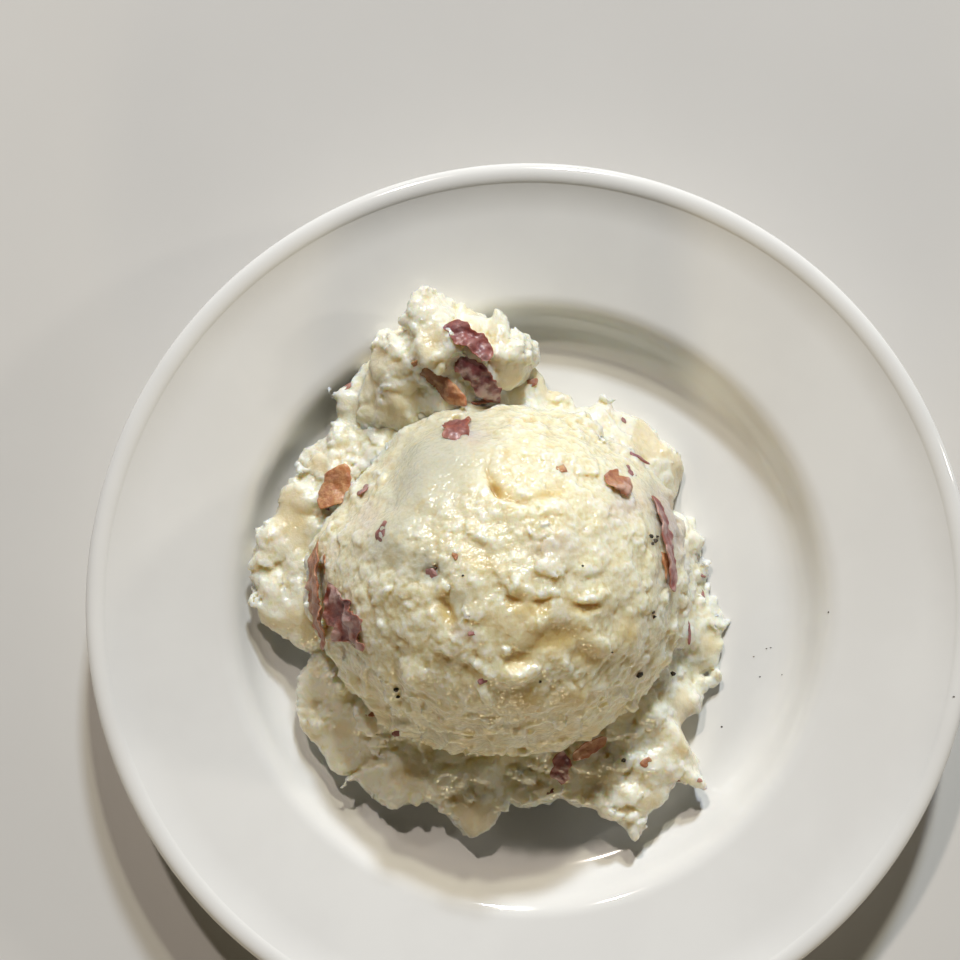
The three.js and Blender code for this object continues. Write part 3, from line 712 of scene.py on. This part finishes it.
def seated(value, points, row):
    """The field with a seat for one piece of skin: a cushion of mash up to its underside, and
    nothing over its middle. The skin's sheet is where out + along^2 / (2 bend) is 0."""
    _, seat, (long, wide, bend), _, _ = row
    middle, ways = skin_seat(seat)
    near = (np.abs(points - middle) < long).all(axis=-1)
    along, across, out = ((points[near] - middle) @ ways.T).T
    over = out + along ** 2 / (2 * bend)
    sizes = np.array((long / 2 + CUSHION_SPARE, wide / 2 + CUSHION_SPARE, CUSHION_HALF))
    cushion = ball_distance(np.stack((along, across, over + CUSHION_SUNK), axis=-1), sizes)
    span = np.hypot(2 * along / long, 2 * across / wide) + 0.25 * waves(points[near], 2.0, 77)
    room = np.maximum((span - 0.8) * wide / 2 - 0.6 * np.minimum(over, 1.2), -0.3 - over)
    value[near] = np.maximum(np.minimum(value[near], cushion), -room)


def nodules(value, rough, step, count, salt):
    """The field with small lumps on it: each an ellipsoid turned any way, about the highest place
    inside one column of the lattice. The smoother the mash is there, the more of them are left
    out."""
    random = np.random.default_rng(salt)
    inside = value < 0
    top = value.shape[2] - 1 - np.argmax(inside[:, :, ::-1], axis=2)
    columns = np.argwhere(inside.any(axis=2))
    reach = int(2.2 / step)
    for column in columns[random.integers(0, len(columns), count)]:
        cell = np.array((*column, top[tuple(column)]))
        sizes = (0.7 + 1.1 * random.random() ** 2) * random.uniform(0.6, 1.5, 3)
        turned = np.linalg.qr(random.normal(size=(3, 3)))[0]
        if random.random() > rough[tuple(cell)]:
            continue
        first = np.maximum(cell - reach, 0)
        box = tuple(slice(a, a + 2 * reach + 1) for a in first)
        near = np.moveaxis(np.indices(value[box].shape), 0, -1) + first
        away = ((near - cell) * step + 0.35 * sizes.mean() * UP) @ turned
        value[box] = np.minimum(value[box], ball_distance(away, sizes))


def largest_part(points, quads):
    """The net without its loose islands: the lowest point number is passed on from face to face
    until it has reached all that hangs together."""
    label = np.arange(len(points))
    while True:
        least = label[quads].min(axis=1)
        after = label.copy()
        np.minimum.at(after, quads.ravel(), np.repeat(least, 4))
        after = after[after]
        if (after == label).all():
            break
        label = after
    kept = label == np.bincount(label).argmax()
    number = np.cumsum(kept) - 1
    return points[kept], number[quads[kept[quads[:, 0]]]]


def flat_drawn_in(points, quads, height):
    """The faces as lists, with all points of the flat hidden underside drawn in to one."""
    flat = np.abs(points[:, 2] - height) < 1e-6
    middle = int(np.argmax(flat))
    points[middle, :2] = points[flat, :2].mean(axis=0)
    quads = np.where(flat[quads], middle, quads)
    faces = [[corner for corner, before in zip(quad, quad[-1:] + quad[:-1]) if corner != before]
             for quad in quads.tolist()]
    return [face for face in faces if len(set(face)) == len(face) > 2]


# How far from the surface, in mm inwards and outwards, each part of the relief is worked out:
# as far as it and the finer parts after it can move the surface.
DETAIL_REACH = (-4.5, 4.5)
COARSE_REACH = (-1.6, 3.4)
FINE_REACH = (-0.8, 2.1)


def torn_piece(name, field, detail, skins, material, low, high, step, salt, heaps, lumps, cut, pale):
    """A torn lump of mash: the plain field less its own detail and less torn relief, cut off
    just above the plate, or at a height inside the rest of the mash. Each part is worked out
    only near where the surface can still be. low and high are the corners of the lattice,
    heaps is the share of the rounded heaps, lumps the number of small lumps tried, cut the
    height of the cut, and pale lifts the colour as a whole towards white, painted light set
    higher for the bed and the high lump than for the scoop."""
    step = step / QUICK_SHARE
    axes = [np.arange(start, stop, step) for start, stop in zip(low, high)]
    lattice = np.stack(np.meshgrid(*axes, indexing="ij"), axis=-1)
    value = field(lattice)
    front = np.array((0.0, -0.3, -0.2))
    rough = np.zeros_like(value)
    near = (value > DETAIL_REACH[0]) & (value < DETAIL_REACH[1])
    height, rough[near] = detail(lattice[near])[:2]
    value[near] -= height
    near = (value > COARSE_REACH[0]) & (value < COARSE_REACH[1])
    value[near] -= rough[near] * coarse_relief(lattice[near], salt, front, heaps)
    nodules(value, rough, step, lumps, salt)
    near = (value > FINE_REACH[0]) & (value < FINE_REACH[1])
    value[near] -= rough[near] * fine_relief(lattice[near], salt, front)
    for row in skins:
        seated(value, lattice, row)
    floor = np.maximum(plate_height(lattice) + 0.25, cut) - lattice[..., 2]
    points, quads = largest_part(*surface_net(np.maximum(value, floor), np.array(low), step))

    _, rough, amber, grey, lilac = detail(points)
    loose = np.clip(1.3 * rough, 0.35, 1) * (points[:, 2] > cut + 1e-6)
    points = points + (loose * grit(points, salt + 20))[:, None] * net_normals(points, quads)
    # As many rounds of evening as reach equally far at either fineness.
    even = round(QUICK_SHARE ** 2 * 9)
    # These two values, how far the mash stands out close by and broadly, drive painted light in its colour:
    # painted highlight where it stands out, painted shade where it lies low. pale lifts them, painting the
    # whole piece lighter.
    values = {"crest": standing(points, quads, even) + pale, "broad_painted_light": standing(points, quads, 6 * even),
              "amber": amber, "grey": grey, "lilac": lilac}
    faces = flat_drawn_in(points, quads, cut) if cut else quads.tolist()
    return make_piece(name, points, faces, material, values)


def build_bed(material):
    """The ragged bed, its plain shape bent a little."""
    def field(points):
        return bed_field(drift(points, 7.0, 1.1, 250))

    # The bed's pale is painted light: its colour lifted towards white against the shade it lies in.
    return torn_piece(
        "mash_bed", field, heap_detail, BED_SKINS, material,
        low=(-66.0, -60.0, 4.0), high=(62.0, 70.0, 27.0), step=0.55,
        salt=220, heaps=1.15, lumps=110, cut=0, pale=0.4)


def build_mound(material):
    """The high lump, its plain shape bent a little."""
    def field(points):
        return mound_field(drift(points, 6.0, 1.2, 340))

    # The lump's pale is painted light too: its colour lifted towards white.
    return torn_piece(
        "mash_high_lump", field, heap_detail, LUMP_SKINS, material,
        low=(-44.0, 32.0, 4.0), high=(14.0, 72.0, 38.0), step=0.46,
        salt=310, heaps=0.9, lumps=24, cut=0, pale=0.4)


# ---------------------------------------------------------------------------------------------
# Skins, flecks, pepper and specks on the plate
# ---------------------------------------------------------------------------------------------

def leaf(sizes, shape, salt, grid, thickness):
    """A torn leaf of skin, lying level round 0. Along it u goes from -1 to 1, and v goes once
    round its thin section: x = long / 2 u, y = w(u) cos v, and its thickness is t |sin v|^0.6.
    Its half width w is wide / 2 (1 - |u|^3)^0.42 with torn noise of its own on either side. The
    sheet falls off along x as -x^2 / (2 bend), curls up towards its sides, is ruffled, sheared
    along x by an amount of its own, and bowed in its own plane."""
    long, wide, bend = sizes
    ruffle, curl, ragged, bow = shape
    rows, columns = grid
    u = np.linspace(-1, 1, rows + 2)[:, None]
    v = np.linspace(0, 2 * math.pi, columns, endpoint=False)[None]
    side = np.cos(v)
    x = long / 2 * u + 0 * v
    edge = np.stack((x, 50 * np.sign(side) + 0 * x, 0 * x), axis=-1)
    torn = 1 + ragged * (1.6 * waves(edge, 2.8, salt) + 0.8 * waves(edge, 1.1, salt + 1))
    y = wide / 2 * (1 - np.abs(u) ** 3) ** 0.42 * torn * side
    x = x + min(0.22, 1.2 * ragged) * wide * side * math.sin(salt) * np.abs(u)
    flat = np.stack((x, y, 0 * x), axis=-1)
    fold = waves(flat, 3.4, salt + 2) + 0.55 * waves(flat, 1.5, salt + 3)
    height = -x ** 2 / (2 * bend) + curl * side ** 4 + ruffle * fold
    height += 0.5 * thickness * np.sign(np.sin(v)) * np.abs(np.sin(v)) ** 0.6 * (1 - u ** 6)
    points = np.stack((x, y + bow * (0.4 - u ** 2), height), axis=-1)
    poles = points[[0, -1]].mean(axis=1)
    points = np.concatenate((points[1:-1].reshape(-1, 3), poles))
    rim = np.append((side ** 6 + 0 * x)[1:-1], (1, 1))
    return points, closed_faces(rows, columns), rim, np.append(fold[1:-1], (0, 0))


def leaf_values(rim, fold, brown, purple, smear):
    """What the skin's finish reads at each point."""
    one = np.ones(len(rim))
    return {"rim": rim, "fold": fold, "brown": brown * one, "purple": purple * one, "smear": smear * one}


def build_skin(row, material):
    """One of the larger skins: its leaf, a little larger than its seat, turned and laid there."""
    name, seat, (long, wide, bend), shape, looks = row
    middle, ways = skin_seat(seat)
    salt = SKIN_SALT + sum(ord(letter) for letter in name)
    sizes = (SKIN_SPARE * long, SKIN_SPARE * wide, bend)
    points, faces, rim, fold = leaf(sizes, shape[:4], salt, SKIN_GRID, SKIN_THICKNESS)
    points = middle + (points + shape[4] * UP) @ ways
    return make_piece(name + "_leaf", points, faces, material, leaf_values(rim, fold, *looks))


def mash_trees():
    """Search trees of the pieces of mash that are there."""
    names = ("mash_scoop", "mash_bed", "mash_high_lump")
    graph = bpy.context.evaluated_depsgraph_get()
    return [BVHTree.FromObject(bpy.data.objects[name], graph) for name in names if name in bpy.data.objects]


def resting_place(trees, x, y):
    """The highest place on the mash at x and y, or a little nearer to the bed's middle where
    there is none, and the way it faces."""
    for share in np.linspace(0, 0.4, 21):
        start = ((1 - share) * np.array((x, y, 0)) + share * BED_AXIS) * MM
        above = Vector((start[0], start[1], SEARCH_HEIGHT))
        hits = [tree.ray_cast(above, Vector((0, 0, -1))) for tree in trees]
        hits = [hit for hit in hits if hit[0] is not None]
        if hits:
            break
    location, normal, _, _ = max(hits, key=lambda hit: hit[0].z)
    return np.array(location) / MM, np.array(normal)


def ways_of(facing, turn):
    """Three square ways for a small piece: along, across and out."""
    angle = math.radians(turn)
    along = np.array((math.cos(angle), math.sin(angle), 0.0))
    along = along - facing * (along @ facing)
    along = along / np.linalg.norm(along)
    return np.stack((along, np.cross(facing, along), facing))


def joined(parts):
    """Several meshes as one: the points, the faces counted on, and the values of each joined."""
    start = np.cumsum([0] + [len(points) for points, _, _ in parts])
    faces = [[corner + first for corner in face]
             for (_, some, _), first in zip(parts, start) for face in some]
    values = {key: np.concatenate([part[2][key] for part in parts]) for key in parts[0][2]}
    return np.concatenate([points for points, _, _ in parts]), faces, values


def build_flecks(material):
    """Small bits of skin pressed into the mash, each a leaf laid where the mash is highest."""
    trees, parts = mash_trees(), []
    for index, (x, y, long, wide, turn, brown, purple) in enumerate(FLECKS):
        middle, facing = resting_place(trees, x, y)
        sizes, salt = (long, wide, FLECK_BEND), FLECK_SALT + 7 * index
        points, faces, rim, fold = leaf(sizes, FLECK_SHAPE, salt, FLECK_GRID, FLECK_THICKNESS)
        points = middle + (points - FLECK_SUNK * UP) @ ways_of(facing, turn)
        parts.append((points, faces, leaf_values(rim, fold, brown, purple, FLECK_SMEAR)))
    points, faces, values = joined(parts)
    return make_piece("skin_flecks", points, faces, material, values)


def ball(rings, segments):
    """Directions over a ball and its faces: rings of latitude between two poles."""
    tilt = np.linspace(0, math.pi, rings + 2)[1:-1, None]
    turn = np.linspace(0, 2 * math.pi, segments, endpoint=False)[None]
    level = np.sin(tilt)
    ring = np.stack((level * np.cos(turn), level * np.sin(turn), np.cos(tilt) + 0 * turn), axis=-1)
    return np.concatenate((ring.reshape(-1, 3), (UP, -UP))), closed_faces(rings, segments, flip=True)


def lumps(places, sizes, squash, rough, salt):
    """A small uneven ball at each place: its radius in each direction is size (1 + noise)."""
    ways, faces = ball(*GRAIN_GRID)
    parts = []
    for index, (middle, size) in enumerate(zip(places, sizes)):
        noise = waves(ways + 5.0 * index, 0.9, salt) + 0.5 * waves(ways + 5.0 * index, 0.45, salt + 1)
        points = ways * (size * (1 + rough * noise))[:, None] * squash
        parts.append((middle + points, faces, {}))
    return joined(parts)[:2]


def build_pepper(material):
    """Cracked pepper on the mash: small dark angular grains."""
    trees = mash_trees()
    places = [(resting_place(trees, x, y), size) for x, y, size in PEPPER]
    middles = [place[0] + 0.15 * size * place[1] for place, size in places]
    sizes = [0.5 * size for place, size in places]
    points, faces = lumps(middles, sizes, PEPPER_SQUASH, PEPPER_UNEVEN, PEPPER_SALT)
    return make_piece("cracked_pepper", points, faces, material, smooth=False)


def build_specks(material):
    """Tiny specks that fell on the plate."""
    rows = np.array(PLATE_SPECKS)
    middles = np.stack((rows[:, 0], rows[:, 1], plate_height(rows) + 0.05), axis=-1)
    points, faces = lumps(middles, 0.5 * rows[:, 2], SPECK_SQUASH, SPECK_UNEVEN, SPECK_SALT)
    return make_piece("plate_specks", points, faces, material, smooth=False)


# ---------------------------------------------------------------------------------------------
# Materials
# ---------------------------------------------------------------------------------------------

class Nodes:
    """A small helper that adds and joins the nodes of one material."""

    def __init__(self, name):
        self.material = bpy.data.materials.new(name)
        self.material.use_nodes = True
        self.tree = self.material.node_tree
        self.shader = self.tree.nodes["Principled BSDF"]
        self.place = self.add("ShaderNodeTexCoord").outputs["Object"]

    def add(self, kind, **settings):
        """A new node with its settings."""
        node = self.tree.nodes.new(kind)
        for key, value in settings.items():
            setattr(node, key, value)
        return node

    def put(self, socket, value):
        """A socket takes a plain value or another node's output."""
        if isinstance(value, bpy.types.NodeSocket):
            self.tree.links.new(value, socket)
        else:
            socket.default_value = value

    def finish(self, **values):
        """The material, with the shader's sockets filled."""
        for key, value in values.items():
            self.put(self.shader.inputs[key.replace("_", " ")], value)
        return self.material

    def noise(self, size_mm, detail, rough=0.55, bent=0.0):
        """Noise whose largest cells are so many mm wide."""
        node = self.add("ShaderNodeTexNoise")
        self.put(node.inputs["Vector"], self.place)
        node.inputs["Scale"].default_value = 1 / (size_mm * MM)
        node.inputs["Detail"].default_value = detail
        node.inputs["Roughness"].default_value = rough
        node.inputs["Distortion"].default_value = bent
        return node.outputs["Fac"]

    def value(self, key):
        """A value held at the mesh's points."""
        return self.add("ShaderNodeAttribute", attribute_name=key).outputs["Fac"]

    def span(self, value, low, high, to_low=0.0, to_high=1.0):
        """The value carried smoothly from one span to another, and held at its ends."""
        node = self.add("ShaderNodeMapRange", clamp=True, interpolation_type="SMOOTHSTEP")
        self.put(node.inputs["Value"], value)
        for key, number in (("From Min", low), ("From Max", high), ("To Min", to_low), ("To Max", to_high)):
            node.inputs[key].default_value = number
        return node.outputs["Result"]

    def sums(self, kind, a, b):
        """Two values added, multiplied or compared."""
        node = self.add("ShaderNodeMath", operation=kind)
        self.put(node.inputs[0], a)
        self.put(node.inputs[1], b)
        return node.outputs[0]

    def mix(self, share, a, b):
        """Two colours blended; each is a plain one or another node's output."""
        node = self.add("ShaderNodeMix", data_type="RGBA")
        self.put(node.inputs["Factor"], share)
        for key, colour in ((6, a), (7, b)):
            plain = not isinstance(colour, bpy.types.NodeSocket)
            self.put(node.inputs[key], (*colour[:3], 1) if plain else colour)
        return node.outputs[2]

    def bump(self, height, depth_mm, strength=1.0):
        """A normal tilted by a height that counts for so many mm."""
        node = self.add("ShaderNodeBump")
        node.inputs["Strength"].default_value = strength
        node.inputs["Distance"].default_value = depth_mm * MM
        self.put(node.inputs["Height"], height)
        return node.outputs["Normal"]


def mash_material(looks):
    """Moist potato. Light and shade are painted into its colour by how far the mash stands out:
    buttery yellow and then amber in the hollows are painted shade, cream and then white on the
    crests painted highlight. The amber held at the points is waxy potato, and painted shade in
    pits, under torn edges and on the near side. It is grey where it was pressed, faintly lilac by
    the skins. Light passes some way in, and a wet film over it glints on grains too fine to see."""
    made = Nodes("moist_mash")
    crest, broad_painted_light = made.value("crest"), made.value("broad_painted_light")
    # The values of standing out go into lift, which paints light and shade into the colour; cloud and speck
    # are the mash's own uneven tone.
    lift = made.sums("ADD", crest, made.sums("MULTIPLY", broad_painted_light, 0.35))
    cloud = made.span(made.noise(4.0, 4, 0.6), 0.3, 0.7, -0.22, 0.22)
    lift = made.sums("ADD", lift, cloud)
    speck = made.span(made.noise(0.8, 3, 0.65), 0.3, 0.7, -0.09, 0.09)
    lift = made.sums("ADD", lift, speck)
    # Painted shade and highlight: butter where lift is low, then cream, then white where it is high.
    tint = made.mix(made.span(lift, -0.3, 0.1), looks.butter, looks.cream)
    tint = made.mix(made.span(lift, 0.06, 0.46, 0.0, 0.88), tint, looks.white)
    tint = made.mix(made.sums("MULTIPLY", made.value("grey"), 0.85), tint, looks.grey)
    # Painted shade: amber deep in the hollows, where the mash stands out least; the noise after it adds the
    # own colour of waxy patches.
    deep = made.span(lift, -0.2, -0.58, 0.0, 0.85)
    waxy = made.span(made.noise(3.2, 2, 0.5, 0.6), 0.55, 0.68, 0.0, 0.3)
    deep = made.sums("MAXIMUM", deep, waxy)
    # Amber from the points: waxy potato, and painted shade in pits, under torn edges and on the near side.
    tint = made.mix(made.sums("MAXIMUM", deep, made.value("amber")), tint, looks.amber)
    tint = made.mix(made.sums("MULTIPLY", made.value("lilac"), 0.7), tint, looks.lilac)
    rough = made.span(made.noise(1.6, 2), 0.35, 0.7, 0.5, 0.7)
    soft = made.bump(made.noise(0.7, 2, 0.6), 0.14)
    film = made.bump(made.noise(1.0, 1, 0.5), 0.4)
    wet = made.span(made.noise(5.0, 2), 0.38, 0.62, 0.6, 1.0)
    return made.finish(
        Base_Color=tint, Roughness=rough, Normal=soft, Coat_Normal=film, Subsurface_Weight=0.9,
        Subsurface_Radius=(1.0, 0.78, 0.5), Subsurface_Scale=0.004, Subsurface_Anisotropy=0.2,
        Coat_Weight=wet, Coat_Roughness=0.24, Coat_IOR=1.55, IOR=1.4)


def skin_material(looks):
    """Cooked red potato skin: mottled red, brown or purple by the piece, paler where it is torn
    at its rim, with mash smeared on its folds; wet."""
    made = Nodes("potato_skin")
    mottle = made.span(made.noise(2.2, 4, 0.65), 0.38, 0.62)
    red = made.mix(mottle, looks.skin_red, looks.skin_dark)
    brown = made.mix(mottle, looks.skin_brown, looks.skin_rust)
    tint = made.mix(made.value("brown"), red, brown)
    tint = made.mix(made.sums("MULTIPLY", made.value("purple"), 0.7), tint, looks.skin_purple)
    tint = made.mix(made.sums("MULTIPLY", made.value("rim"), 0.35), tint, looks.skin_rust)
    folds = made.sums("ADD", made.sums("MULTIPLY", made.value("fold"), 0.45), made.noise(2.4, 3, 0.6))
    smear = made.sums("MULTIPLY", made.span(folds, 0.42, 0.75), made.value("smear"))
    tint = made.mix(smear, tint, looks.skin_film)
    rough = made.span(made.noise(1.0, 2), 0.35, 0.7, 0.4, 0.6)
    grain = made.bump(made.noise(0.8, 3, 0.6), 0.3)
    return made.finish(
        Base_Color=tint, Roughness=rough, Normal=grain, Subsurface_Weight=0.4,
        Subsurface_Radius=(1.0, 0.5, 0.3), Subsurface_Scale=0.0015, Coat_Weight=0.45,
        Coat_Roughness=0.28, Coat_IOR=1.5, IOR=1.45)


def pepper_material(looks):
    """Cracked pepper: nearly black with brown breaks."""
    made = Nodes("cracked_pepper")
    tint = made.mix(made.span(made.noise(0.5, 2), 0.45, 0.65), looks.pepper, looks.pepper_break)
    grain = made.bump(made.noise(0.35, 2), 0.15, strength=0.8)
    rough = made.span(made.noise(0.6, 1), 0.3, 0.7, 0.4, 0.7)
    return made.finish(Base_Color=tint, Roughness=rough, Normal=grain)


def china_material(looks):
    """White glaze: a faint cloudiness in the colour and the gloss, and the softest of ripples."""
    made = Nodes("white_glaze")
    cloud = made.noise(22.0, 3)
    tint = made.mix(made.span(cloud, 0.35, 0.65), looks.china, looks.china_shade)
    rough = made.span(made.noise(9.0, 4), 0.3, 0.7, 0.07, 0.13)
    ripple = made.bump(made.noise(14.0, 2), 0.12, strength=0.25)
    return made.finish(Base_Color=tint, Roughness=rough, Normal=ripple, IOR=1.5)


def floor_material():
    """A plain pale floor, faintly cloudy."""
    made = Nodes("pale_floor")
    tint = made.mix(made.noise(40.0, 4), *FLOOR_TINTS)
    return made.finish(Base_Color=tint, Roughness=0.8)


# ---------------------------------------------------------------------------------------------
# Settings, operators and panel
# ---------------------------------------------------------------------------------------------

def tint_property(label, about, default):
    """A colour that can be set in the panel."""
    return FloatVectorProperty(name=label, description=about, subtype="COLOR", size=3, min=0, max=1,
                               default=default)


class MashLooks(bpy.types.PropertyGroup):
    """The colours of the food and the plate."""
    cream: tint_property("Cream", "Plain mash", (0.845, 0.80, 0.58))
    # Butter is mixed in where the mash lies low, as painted shade.
    butter: tint_property("Butter", "Lower, moister mash", (0.79, 0.715, 0.455))
    # White is mixed in where the mash stands out, as painted highlight.
    white: tint_property("White", "Crests and lips", (0.885, 0.87, 0.745))
    grey: tint_property("Grey", "Pressed smooth mash", (0.50, 0.495, 0.405))
    # Amber is the colour of waxy chunks, and painted shade in the hollows, under torn edges and on the
    # scoop's near side.
    amber: tint_property("Amber", "Hollows and waxy chunks", (0.71, 0.555, 0.255))
    lilac: tint_property("Lilac", "Mash stained by the skins", (0.62, 0.50, 0.52))
    skin_red: tint_property("Skin red", "Outer side of the skin", (0.33, 0.09, 0.075))
    skin_dark: tint_property("Skin dark", "Darker mottling of the skin", (0.18, 0.05, 0.05))
    skin_purple: tint_property("Skin purple", "Purple bits of skin", (0.28, 0.12, 0.15))
    skin_brown: tint_property("Skin brown", "Brown bits and inner side of the skin", (0.60, 0.33, 0.15))
    skin_rust: tint_property("Skin rust", "Darker mottling of the brown skin", (0.42, 0.16, 0.06))
    skin_film: tint_property("Skin film", "Mash smeared on the skin", (0.62, 0.47, 0.43))
    pepper: tint_property("Pepper", "Cracked pepper", (0.02, 0.017, 0.013))
    pepper_break: tint_property("Pepper break", "Brown breaks of the pepper", (0.12, 0.08, 0.05))
    china: tint_property("China", "Glaze", (0.81, 0.808, 0.79))
    china_shade: tint_property("China shade", "Cloudy parts of the glaze", (0.785, 0.782, 0.765))


class StageSettings(bpy.types.PropertyGroup):
    """Where the camera stands and how much it takes in."""
    eye_height: FloatProperty(name="Eye height", description="Height of the camera above the floor",
                              unit="LENGTH", default=0.44)
    eye_x: FloatProperty(name="Eye X", description="Place of the camera across", unit="LENGTH",
                         default=-0.0102)
    eye_y: FloatProperty(name="Eye Y", description="Place of the camera along", unit="LENGTH",
                         default=0.02597)
    view_angle: FloatProperty(name="View angle", description="Angle that the square picture takes in",
                              subtype="ANGLE", default=math.radians(26.1))


def finish_piece(piece, slot, *nodes):
    """Every piece rides on the one body, and the parts of the model that it stands for are hidden."""
    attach(piece, "root")
    if nodes:
        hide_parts(*nodes)
    return {"FINISHED"}


def found_or_made(name, maker, looks):
    """The material of that name, or a new one."""
    return bpy.data.materials.get(name) or maker(looks)


class MASH_OT_plate(bpy.types.Operator):
    """Add the glazed plate"""
    bl_idname = "mash.plate"
    bl_label = "Plate"

    def execute(self, context):
        material = found_or_made("white_glaze", china_material, context.scene.mash_looks)
        return finish_piece(build_plate(material), "china", "plate")


class MASH_OT_scoop(bpy.types.Operator):
    """Add the pressed scoop of mash"""
    bl_idname = "mash.scoop"
    bl_label = "Scoop"

    def execute(self, context):
        material = found_or_made("moist_mash", mash_material, context.scene.mash_looks)
        return finish_piece(build_scoop(material), "mash", "mash")


class MASH_OT_bed(bpy.types.Operator):
    """Add the ragged bed under the scoop"""
    bl_idname = "mash.bed"
    bl_label = "Bed"

    def execute(self, context):
        material = found_or_made("moist_mash", mash_material, context.scene.mash_looks)
        return finish_piece(build_bed(material), "mash", "mash")


class MASH_OT_high_lump(bpy.types.Operator):
    """Add the high lump behind the scoop"""
    bl_idname = "mash.high_lump"
    bl_label = "High lump"

    def execute(self, context):
        material = found_or_made("moist_mash", mash_material, context.scene.mash_looks)
        return finish_piece(build_mound(material), "mash", "mash")


class MASH_OT_skins(bpy.types.Operator):
    """Add the larger pieces of potato skin"""
    bl_idname = "mash.skins"
    bl_label = "Skins"

    def execute(self, context):
        material = found_or_made("potato_skin", skin_material, context.scene.mash_looks)
        for row in SCOOP_SKINS + LUMP_SKINS + BED_SKINS:
            slot = "brown_skin" if row[0] in BROWN_SKINS else "red_skin"
            finish_piece(build_skin(row, material), slot, row[0])
        return {"FINISHED"}


class MASH_OT_flecks(bpy.types.Operator):
    """Add the small bits of skin"""
    bl_idname = "mash.flecks"
    bl_label = "Flecks of skin"

    def execute(self, context):
        material = found_or_made("potato_skin", skin_material, context.scene.mash_looks)
        return finish_piece(build_flecks(material), "red_skin")


class MASH_OT_pepper(bpy.types.Operator):
    """Add the cracked pepper and the specks on the plate"""
    bl_idname = "mash.pepper"
    bl_label = "Pepper"

    def execute(self, context):
        material = found_or_made("cracked_pepper", pepper_material, context.scene.mash_looks)
        finish_piece(build_pepper(material), "pepper")
        return finish_piece(build_specks(material), "pepper")


def add_lamp(name, bearing, elevation, size, power, colour):
    """A square lamp at a bearing and elevation from the point that it faces."""
    data = bpy.data.lights.new(name, "AREA")
    data.size = size
    data.energy = power
    data.color = colour
    lamp = bpy.data.objects.new(name, data)
    bearing, elevation = math.radians(bearing), math.radians(elevation)
    way = Vector((math.cos(bearing) * math.cos(elevation), math.sin(bearing) * math.cos(elevation),
                  math.sin(elevation)))
    lamp.location = Vector(LAMP_AIM) + way * LAMP_DISTANCE
    lamp.rotation_euler = way.to_track_quat("Z", "Y").to_euler()
    bpy.context.scene.collection.objects.link(lamp)


def soft_room():
    """A room that gives hardly any light of its own, but is pale where it is looked at straight."""
    world = bpy.data.worlds.new("soft_room")
    world.use_nodes = True
    tree = world.node_tree
    dim = tree.nodes["Background"]
    dim.inputs["Color"].default_value = ROOM_LIGHT
    dim.inputs["Strength"].default_value = ROOM_STRENGTH
    pale = tree.nodes.new("ShaderNodeBackground")
    pale.inputs["Color"].default_value = ROOM_TINT
    either = tree.nodes.new("ShaderNodeMixShader")
    tree.links.new(tree.nodes.new("ShaderNodeLightPath").outputs["Is Camera Ray"], either.inputs["Fac"])
    tree.links.new(dim.outputs[0], either.inputs[1])
    tree.links.new(pale.outputs[0], either.inputs[2])
    tree.links.new(either.outputs[0], tree.nodes["World Output"].inputs["Surface"])
    return world


class MASH_OT_stage(bpy.types.Operator):
    """Add the floor, the lamps and the camera"""
    bl_idname = "mash.stage"
    bl_label = "Stage"

    def execute(self, context):
        stage = context.scene.mash_stage
        corners = [(x * FLOOR_HALF, y * FLOOR_HALF, 0) for x, y in ((-1, -1), (1, -1), (1, 1), (-1, 1))]
        mesh = bpy.data.meshes.new("floor")
        mesh.from_pydata(corners, [], [(0, 1, 2, 3)])
        mesh.materials.append(floor_material())
        floor = bpy.data.objects.new("floor", mesh)
        context.scene.collection.objects.link(floor)

        for lamp in LAMPS:
            add_lamp(*lamp)
        context.scene.world = soft_room()
        context.scene.view_settings.view_transform = "Standard"

        data = bpy.data.cameras.new("camera")
        data.sensor_fit = "HORIZONTAL"
        data.angle = stage.view_angle
        data.clip_start = 0.01
        camera = bpy.data.objects.new("camera", data)
        camera.location = (stage.eye_x, stage.eye_y, stage.eye_height)
        context.scene.collection.objects.link(camera)
        context.scene.camera = camera
        return {"FINISHED"}


OPERATORS = (MASH_OT_plate, MASH_OT_scoop, MASH_OT_bed, MASH_OT_high_lump, MASH_OT_skins, MASH_OT_flecks,
             MASH_OT_pepper, MASH_OT_stage)


class MASH_PT_panel(bpy.types.Panel):
    """Buttons for every piece, the colours and the camera"""
    bl_idname = "MASH_PT_panel"
    bl_label = "Mashed Potato"
    bl_space_type = "VIEW_3D"
    bl_region_type = "UI"
    bl_category = "Mash"

    def draw(self, context):
        for operator in OPERATORS:
            self.layout.operator(operator.bl_idname)
        for group in (context.scene.mash_looks, context.scene.mash_stage):
            for key in group.bl_rna.properties.keys():
                if key not in ("rna_type", "name"):
                    self.layout.prop(group, key)


CLASSES = (MashLooks, StageSettings, *OPERATORS, MASH_PT_panel)


def register():
    """Make the settings, buttons and panel known."""
    for cls in CLASSES:
        bpy.utils.register_class(cls)
    bpy.types.Scene.mash_looks = PointerProperty(type=MashLooks)
    bpy.types.Scene.mash_stage = PointerProperty(type=StageSettings)


def unregister():
    """Take them away again."""
    del bpy.types.Scene.mash_stage
    del bpy.types.Scene.mash_looks
    for cls in reversed(CLASSES):
        bpy.utils.unregister_class(cls)


def main():
    """Add every piece and the stage."""
    register()
    bpy.ops.mash.plate()
    bpy.ops.mash.scoop()
    bpy.ops.mash.bed()
    bpy.ops.mash.high_lump()
    bpy.ops.mash.skins()
    bpy.ops.mash.flecks()
    bpy.ops.mash.pepper()
    bpy.ops.mash.stage()


if __name__ == "__main__":
    main()
